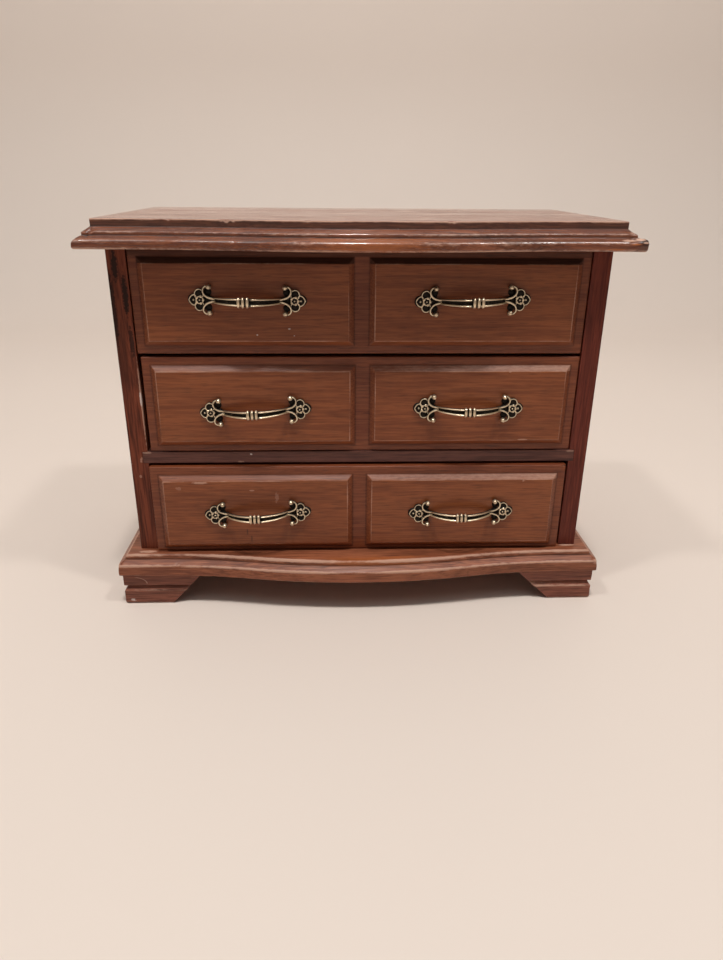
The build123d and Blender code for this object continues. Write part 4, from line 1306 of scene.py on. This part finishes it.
class CHEST_OT_base(bpy.types.Operator):
    """Builds the moulded base board."""

    bl_idname = "chest.base"
    bl_label = "Base board"

    def execute(self, context):
        sizes = context.scene.chest_mouldings
        finishes = context.scene.chest_finishes
        bottom, top = BASE_BOARD[0].z, BASE_BOARD[1].z
        overhang = BASE_BOARD[1].x - HALF_WIDTH
        under_run, over_run, foot_round, brow_round = 0.002, 0.004, 0.0006, 0.0003
        edge = rounded_line((
            (overhang - under_run, 0, 0, 0),
            (overhang, 0, foot_round, 0.5),
            (overhang, sizes.base_face, sizes.base_face_round, 1.25),
            (overhang - sizes.base_slope, sizes.base_nose, brow_round, 0.1),
            (sizes.bead_overhang, sizes.base_nose, sizes.crease, 1.0),
            (sizes.bead_overhang, top - bottom, sizes.bead_round, 1.2),
            (sizes.bead_overhang - over_run, top - bottom, 0, 0),
        ))
        front = FRONT_Y - overhang
        chips = (
            ((-0.118, front, bottom + 0.0075), 0.0014, 0.5, 0.7),
            ((-0.095, front - 0.003, bottom + 0.0008), 0.0016, 0.5, 0.6),
            ((0.092, front - 0.003, bottom + 0.0072), 0.0013, 0.5, 0.7),
            ((HALF_WIDTH + 0.012, FRONT_Y - 0.012, bottom + 0.007), 0.0022, 0.7, 0.8),
            ((-HALF_WIDTH - 0.012, FRONT_Y - 0.012, bottom + 0.007), 0.0018, 0.6, 0.7),
        )
        points, faces, worn, shade_paint = moulded_board(edge, bottom, sizes, chips, SEEDS["base"])
        x, _, z = points.T
        rubbed = 0.95 * bell(x - 0.008, 0.042) * (z > bottom + sizes.base_nose)
        post_x = (HALF_WIDTH + HALF_INSIDE) / 2
        patches = (
            ((-post_x, FRONT_Y - 0.0045, top), (0.0075, 0.0022, 0.001), 0.8, 0.7, "worn"),
            ((post_x, FRONT_Y - 0.001, top), (0.007, 0.0016, 0.001), 0.8, 0.7, "worn"),
        )
        material = stained_wood(
            "base_wood", finishes.base_light, finishes.base_dark, streaks=0.25, wear=1.2, gloss=0.3,
            patches=patches,
        )
        marks = {"wear": worn, "rubbed": rubbed, "painted_shade": shade_paint}
        add_piece(
            "base_board_moulded", "case", material, points, faces, marks,
            replaces=("base_board",),
        )
        return {"FINISHED"}


class CHEST_OT_feet(bpy.types.Operator):
    """Builds the grooved brackets of the feet, and finishes the plain ones and the glue blocks."""

    bl_idname = "chest.feet"
    bl_label = "Feet"

    def execute(self, context):
        sizes = context.scene.chest_feet
        finishes = context.scene.chest_finishes
        scratches = (((-0.1501, FRONT_Y - 0.011, 0.0028), (0.0022, 0.004, 0.0014), 2.2, 0.6, "dust"),)
        arcs = (((-0.1481, FRONT_Y - 0.011, 0.0149), (0.0080, 0.02, 0.0048), 0.6, 0.6, "worn"),)
        stains, look = (finishes.foot_light, finishes.foot_dark), {"streaks": 0.3, "raggedness": 0.8}
        across = stained_wood("foot_wood_across", *stains, "x", patches=scratches, arcs=arcs, **look)
        deep = stained_wood("foot_wood_deep", *stains, "y", **look)
        for seed, (name, hand) in enumerate(HANDS):
            low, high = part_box(f"front_{name}_foot_front")
            corner_x = max(high.x, low.x, key=abs)
            corner, rear = (corner_x, low.y, 0), (corner_x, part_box(f"rear_{name}_foot_side")[1].y, 0)
            whole, thick, tall = high.x - low.x, high.y - low.y, high.z
            inward, back, ahead = (-hand, 0, 0), (0, 1, 0), (0, -1, 0)
            toe = getattr(sizes, f"{name}_toe")
            for node, spot, run, into, mitred, material in (
                (f"front_{name}_foot_front", corner, inward, back, True, across),
                (f"front_{name}_foot_side", corner, back, inward, True, deep),
                (f"rear_{name}_foot_side", rear, ahead, inward, False, deep),
            ):
                points, faces, marks = foot_strip(
                    spot, run, into, whole, toe, thick, tall, mitred, sizes, SEEDS["feet"] + seed
                )
                add_piece(
                    f"{node}_grooved", "case", material, points, faces, marks,
                    replaces=(node,),
                )
            dress((f"rear_{name}_foot_back",), across, sizes.edge_round)
        dress(("foot_blocks",), raw_wood("block_wood", "z"))
        return {"FINISHED"}


class CHEST_OT_case(bpy.types.Operator):
    """Finishes the sides, shelves, back and hidden dowels of the case."""

    bl_idname = "chest.case"
    bl_label = "Case boards"

    def execute(self, context):
        finishes = context.scene.chest_finishes
        rail_z = sum(corner.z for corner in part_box("lower_shelf")) / 2
        left_marks = (
            ((-0.1400, FRONT_Y, 0.2155), (0.0024, 0.006, 0.012), 1.3, 0.9, "streak"),
            ((-0.1358, FRONT_Y, 0.199), (0.0022, 0.006, 0.015), 1.3, 0.9, "streak"),
            ((-0.1432, FRONT_Y, 0.190), (0.0018, 0.006, 0.026), 1.3, 0.85, "streak"),
            ((-0.1352, FRONT_Y, 0.172), (0.0018, 0.006, 0.012), 1.3, 0.8, "streak"),
            # A pale line down the side's inner edge: wear, and a painted highlight along the edge
            ((-0.1334, FRONT_Y, 0.134), (0.0007, 0.003, 0.034), 1.0, 0.6, "worn"),
            ((-0.1336, FRONT_Y, 0.1372), (0.0009, 0.003, 0.006), 0.8, 0.6, "dust"),
            ((-0.1375, FRONT_Y, rail_z - 0.0015), (0.0014, 0.003, 0.0022), 2.6, 0.4, "worn"),
            ((-0.1392, FRONT_Y, rail_z - 0.013), (0.0010, 0.003, 0.0016), 2.6, 0.35, "worn"),
        )
        rail_marks = (
            ((-0.069, FRONT_Y, rail_z + 0.002), (0.0010, 0.003, 0.0007), 1.2, 0.6, "dust"),
            ((-0.0755, FRONT_Y, rail_z - 0.003), (0.0026, 0.003, 0.0008), 1.6, 0.4, "worn"),
            ((0.1335, FRONT_Y, rail_z + 0.0030), (0.0034, 0.003, 0.0009), 1.2, 0.3, "worn"),
            ((-0.1335, FRONT_Y, rail_z + 0.0032), (0.0034, 0.003, 0.0008), 1.2, 0.4, "worn"),
        )
        side_shine, side_round, rail_round = 0.18, 0.0005, 0.0004
        left = stained_wood(
            "left_side_wood", finishes.left_light, finishes.left_dark, "z", streaks=0.5, shine=side_shine,
            patches=left_marks,
        )
        right = stained_wood(
            "right_side_wood", finishes.right_light, finishes.right_dark, "z", streaks=0.06, shine=side_shine
        )
        rail = stained_wood("rail_wood", finishes.rail_light, finishes.rail_dark, patches=rail_marks)
        dress(("left_side",), left, side_round)
        dress(("right_side",), right, side_round)
        dress(("lower_shelf", "upper_shelf"), rail, rail_round)
        dress(("back_panel",), pressed_board("back_board"))
        dress(("top_dowels",), raw_wood("dowel_wood", "z"))
        return {"FINISHED"}


class CHEST_OT_fronts(bpy.types.Operator):
    """Builds the three drawer fronts with their raised fields."""

    bl_idname = "chest.fronts"
    bl_label = "Drawer fronts"

    def execute(self, context):
        sizes = context.scene.chest_fronts
        finishes = context.scene.chest_finishes
        upper_y, lower_y = (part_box(f"{name}_drawer_front")[0].y for name in ("upper", "lower"))
        patches = (
            ((-0.0612, upper_y, 0.1768), (0.0007, 0.003, 0.0006), 0.4, 0.6, "dust"),
            ((-0.0424, upper_y, 0.1803), (0.0010, 0.003, 0.0006), 0.4, 0.5, "dust"),
            ((-0.0396, upper_y, 0.1763), (0.0006, 0.003, 0.0004), 0.4, 0.4, "dust"),
            ((0.1016, upper_y, 0.1111), (0.0040, 0.003, 0.0006), 0.6, 0.6, "worn"),
            ((-0.1014, lower_y, 0.0846), (0.0060, 0.003, 0.0010), 0.9, 0.6, "worn"),
            ((-0.1151, lower_y, 0.0807), (0.0022, 0.003, 0.0016), 3.4, 0.2, "worn"),
            ((-0.069, lower_y, 0.0792), (0.0022, 0.003, 0.0006), 0.8, 0.4, "worn"),
            ((-0.0535, lower_y, 0.0739), (0.0016, 0.003, 0.0050), 3.6, 0.18, "worn"),
            ((-0.0732, lower_y, 0.0500), (0.0007, 0.003, 0.0030), 0.6, 0.5, "streak"),
            ((-0.0706, lower_y, 0.0450), (0.0007, 0.003, 0.0034), 0.6, 0.5, "streak"),
        )
        material = stained_wood(
            "front_wood", finishes.front_light, finishes.front_dark, streaks=0.1, wear=0.8, raggedness=0.4,
            gloss=0.32, shine=0.36, margin=finishes.margin, patches=patches,
        )
        # Each dent is its place across and up, its radius and its depth
        dents = {
            "upper": (),
            "middle": ((0.0899, 0.1545, 0.0009, 0.0004), (-0.0798, 0.1036, 0.0009, 0.0004)),
            "lower": ((0.1041, 0.0847, 0.0011, 0.0005), (0.1305, 0.0935, 0.0016, 0.0012)),
        }
        for seed, name in enumerate(DRAWERS):
            node = f"{name}_drawer_front"
            low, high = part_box(node)
            lift = getattr(sizes, f"{name}_lift")
            front_seed = SEEDS["fronts"] + 5 * seed
            points, faces, marks = fielded_front(low, high, lift, dents[name], sizes, front_seed)
            x, _, z = points.T
            field_top = (low.z + high.z) / 2 + lift + sizes.field_height / 2
            top_bevel = (z > field_top - 1.05 * sizes.bevel) & (marks["field"] > 0.05)
            if name == "upper":
                # Painted shadow of the top's overhang on the upper front: a little over the whole front,
                # strong on the field's top bevel and on the margin above it
                head = (z > field_top) & (marks["field"] < 0.05)
                marks["painted_shade"] = np.maximum.reduce((marks["painted_shade"], 0.1 + 0.85 * top_bevel, 0.6 * head))
            else:
                # Painted highlight on the upward-facing top bevels of the middle and lower fronts, brighter
                # on the right, carried in the wear mark
                painted_highlight = np.where(x > 0, 0.5 + 2 * x, 0.25 - 1.5 * x)
                marks["wear"] = np.maximum(marks["wear"], painted_highlight * top_bevel)
            add_piece(
                f"{node}_fielded", f"{name}_drawer", material, points, faces, marks,
                smooth=50, replaces=(node,),
            )
        return {"FINISHED"}


class CHEST_OT_boxes(bpy.types.Operator):
    """Finishes the drawer boxes."""

    bl_idname = "chest.boxes"
    bl_label = "Drawer boxes"

    def execute(self, context):
        across, deep = raw_wood("box_wood_across", "x"), raw_wood("box_wood_deep", "y")
        edge_round = 0.0004
        for name in DRAWERS:
            dress((f"{name}_drawer_left_side", f"{name}_drawer_right_side"), deep, edge_round)
            dress((f"{name}_drawer_back", f"{name}_drawer_bottom"), across)
        return {"FINISHED"}


class CHEST_OT_linings(bpy.types.Operator):
    """Lays the felt in the drawers."""

    bl_idname = "chest.linings"
    bl_label = "Felt linings"

    def execute(self, context):
        felt = napped_felt("lining_felt")
        wander, thinner, columns, rows = 0.0001, 0.0003, 90, 48
        for seed, name in enumerate(DRAWERS):
            node = f"{name}_drawer_lining"
            low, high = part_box(node)
            # A flat sheet whose height wanders by seeded waves, given its thickness downwards
            across, deep = np.linspace(low.x, high.x, columns), np.linspace(low.y, high.y, rows)
            x, y = np.meshgrid(across, deep, indexing="ij")
            flat = np.stack((x, y, np.full_like(x, high.z)), axis=-1)
            flat[..., 2] += wander * unevenness(flat, 0.03, SEEDS["linings"] + seed) - wander
            points, faces = flat.reshape(-1, 3), grid_faces(columns, rows)
            piece = add_piece(
                f"{name}_felt", f"{name}_drawer", felt, points, faces, replaces=(node,)
            )
            thickness = piece.modifiers.new("Felt thickness", "SOLIDIFY")
            thickness.thickness = (high.z - low.z) - thinner
            thickness.offset = -1
        return {"FINISHED"}


class CHEST_OT_pulls(bpy.types.Operator):
    """Builds the six cast pulls on the seats that the frame gives."""

    bl_idname = "chest.pulls"
    bl_label = "Cast pulls"

    def execute(self, context):
        sizes = context.scene.chest_pulls
        material = antique_brass("cast_brass")
        parts = [pull_bar(sizes)]
        for _, hand in HANDS:
            parts += pull_end(sizes, hand)
        out = np.array((0.0, -1.0, 0.0))
        # How far the left and the right pull's rings have slipped along their bars
        ring_slips = {"upper": (-0.0016, 0.0016), "middle": (-0.0011, -0.0006), "lower": (-0.0011, -0.001)}
        for name in DRAWERS:
            for (side, _), slip in zip(HANDS, ring_slips[name]):
                node = f"{name}_{side}_pull"
                seat, along = pull_seat(node)
                rings = [pull_ring(sizes, slip + number * sizes.ring_pitch) for number in (-1, 0, 1)]
                up = np.cross(out, along)
                points, faces, relief = join_parts(placed(parts + rings, seat, along, up, out))
                add_piece(
                    f"{node}_cast", f"{name}_drawer", material, points, faces,
                    {"relief": relief}, smooth=60, replaces=(node,),
                )
        return {"FINISHED"}


class CHEST_OT_fasteners(bpy.types.Operator):
    """Builds the round heads and shanks of the screws and nails."""

    bl_idname = "chest.fasteners"
    bl_label = "Screws and nails"

    def execute(self, context):
        sizes = context.scene.chest_fasteners
        steel = plated_steel("fastener_metal")
        slot = (sizes.slot_half, sizes.slot_depth)
        x_way, y_way, z_way = np.eye(3)

        def add(node, body, fastener, seats, along, up, out):
            """Sets one fastener on each of its seats, as one piece."""
            parts = [part for seat in seats for part in placed(fastener, seat, along, up, out)]
            points, faces, _ = join_parts(parts)
            add_piece(f"{node}_turned", body, steel, points, faces, replaces=(node,))

        half = context.scene.chest_pulls.centres / 2
        head = dome((0, 0, 0), sizes.pull_head, sizes.pull_head_height, 2.2, slot=slot)
        for name in DRAWERS:
            low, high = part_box(f"{name}_pull_screws")
            back = high.y - sizes.pull_head_height
            seats = []
            for side, _ in HANDS:
                seat, tilt = pull_seat(f"{name}_{side}_pull")
                for spot in (seat - half * tilt, seat + half * tilt):
                    seats.append((spot[0], back, spot[2]))
            screw = driven(head, sizes.pull_shank, back - low.y)
            add(f"{name}_pull_screws", f"{name}_drawer", screw, seats, x_way, z_way, y_way)
        low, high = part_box("base_screws")
        sunk = sizes.base_head_height
        head = dome((0, 0, -sunk), sizes.base_head, sunk, 3, slot=slot)
        line_x = (HALF_WIDTH + HALF_INSIDE) / 2
        lines_y = (FRONT_Y + sizes.inset, BACK_Y - sizes.inset)
        seats = [(hand * line_x, y, low.z) for _, hand in HANDS for y in lines_y]
        screw = driven(head, sizes.base_shank, high.z - low.z)
        add("base_screws", "case", screw, seats, x_way, y_way, -z_way)
        low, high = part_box("back_nails")
        head = dome((0, 0, 0), sizes.nail_head, sizes.nail_head_height, 1.5)
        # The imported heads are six-sided, with flat sides up and down
        flat, nails_up = sizes.nail_head * np.cos(np.pi / 6), 4
        rows = np.linspace(low.z + flat, high.z - flat, nails_up)
        seats = [(hand * (high.x - sizes.nail_head), BACK_Y, z) for _, hand in HANDS for z in rows]
        nail = driven(head, sizes.nail_shank, BACK_Y - low.y)
        add("back_nails", "case", nail, seats, x_way, z_way, y_way)
        return {"FINISHED"}


class CHEST_PT_panel(bpy.types.Panel):
    """Lists the chest's operators and settings in the sidebar."""

    bl_idname = "CHEST_PT_panel"
    bl_label = "Jewelry chest"
    bl_space_type = "VIEW_3D"
    bl_region_type = "UI"
    bl_category = "Chest"

    def draw(self, context):
        for operator in OPERATORS:
            self.layout.operator(operator.bl_idname)
        for settings in SETTINGS:
            group = getattr(context.scene, settings)
            box = self.layout.box()
            for name in group.__annotations__:
                box.prop(group, name)


OPERATORS = (
    CHEST_OT_stage, CHEST_OT_case, CHEST_OT_top, CHEST_OT_base, CHEST_OT_feet, CHEST_OT_fronts,
    CHEST_OT_boxes, CHEST_OT_linings, CHEST_OT_pulls, CHEST_OT_fasteners,
)
SETTINGS = {
    "chest_mouldings": ChestMouldings,
    "chest_fronts": ChestFronts,
    "chest_feet": ChestFeet,
    "chest_pulls": ChestPulls,
    "chest_fasteners": ChestFasteners,
    "chest_finishes": ChestFinishes,
    "chest_stage": ChestStage,
}


def register():
    """Registers the settings, the operators and the panel."""
    for name, group in SETTINGS.items():
        bpy.utils.register_class(group)
        setattr(bpy.types.Scene, name, bpy.props.PointerProperty(type=group))
    for kind in (*OPERATORS, CHEST_PT_panel):
        bpy.utils.register_class(kind)


def unregister():
    """Takes them all away again."""
    for kind in (CHEST_PT_panel, *reversed(OPERATORS)):
        bpy.utils.unregister_class(kind)
    for name, group in SETTINGS.items():
        delattr(bpy.types.Scene, name)
        bpy.utils.unregister_class(group)


def main():
    """Registers the add-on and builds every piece."""
    register()
    for operator in OPERATORS:
        module, name = operator.bl_idname.split(".")
        getattr(getattr(bpy.ops, module), name)()


if __name__ == "__main__":
    main()
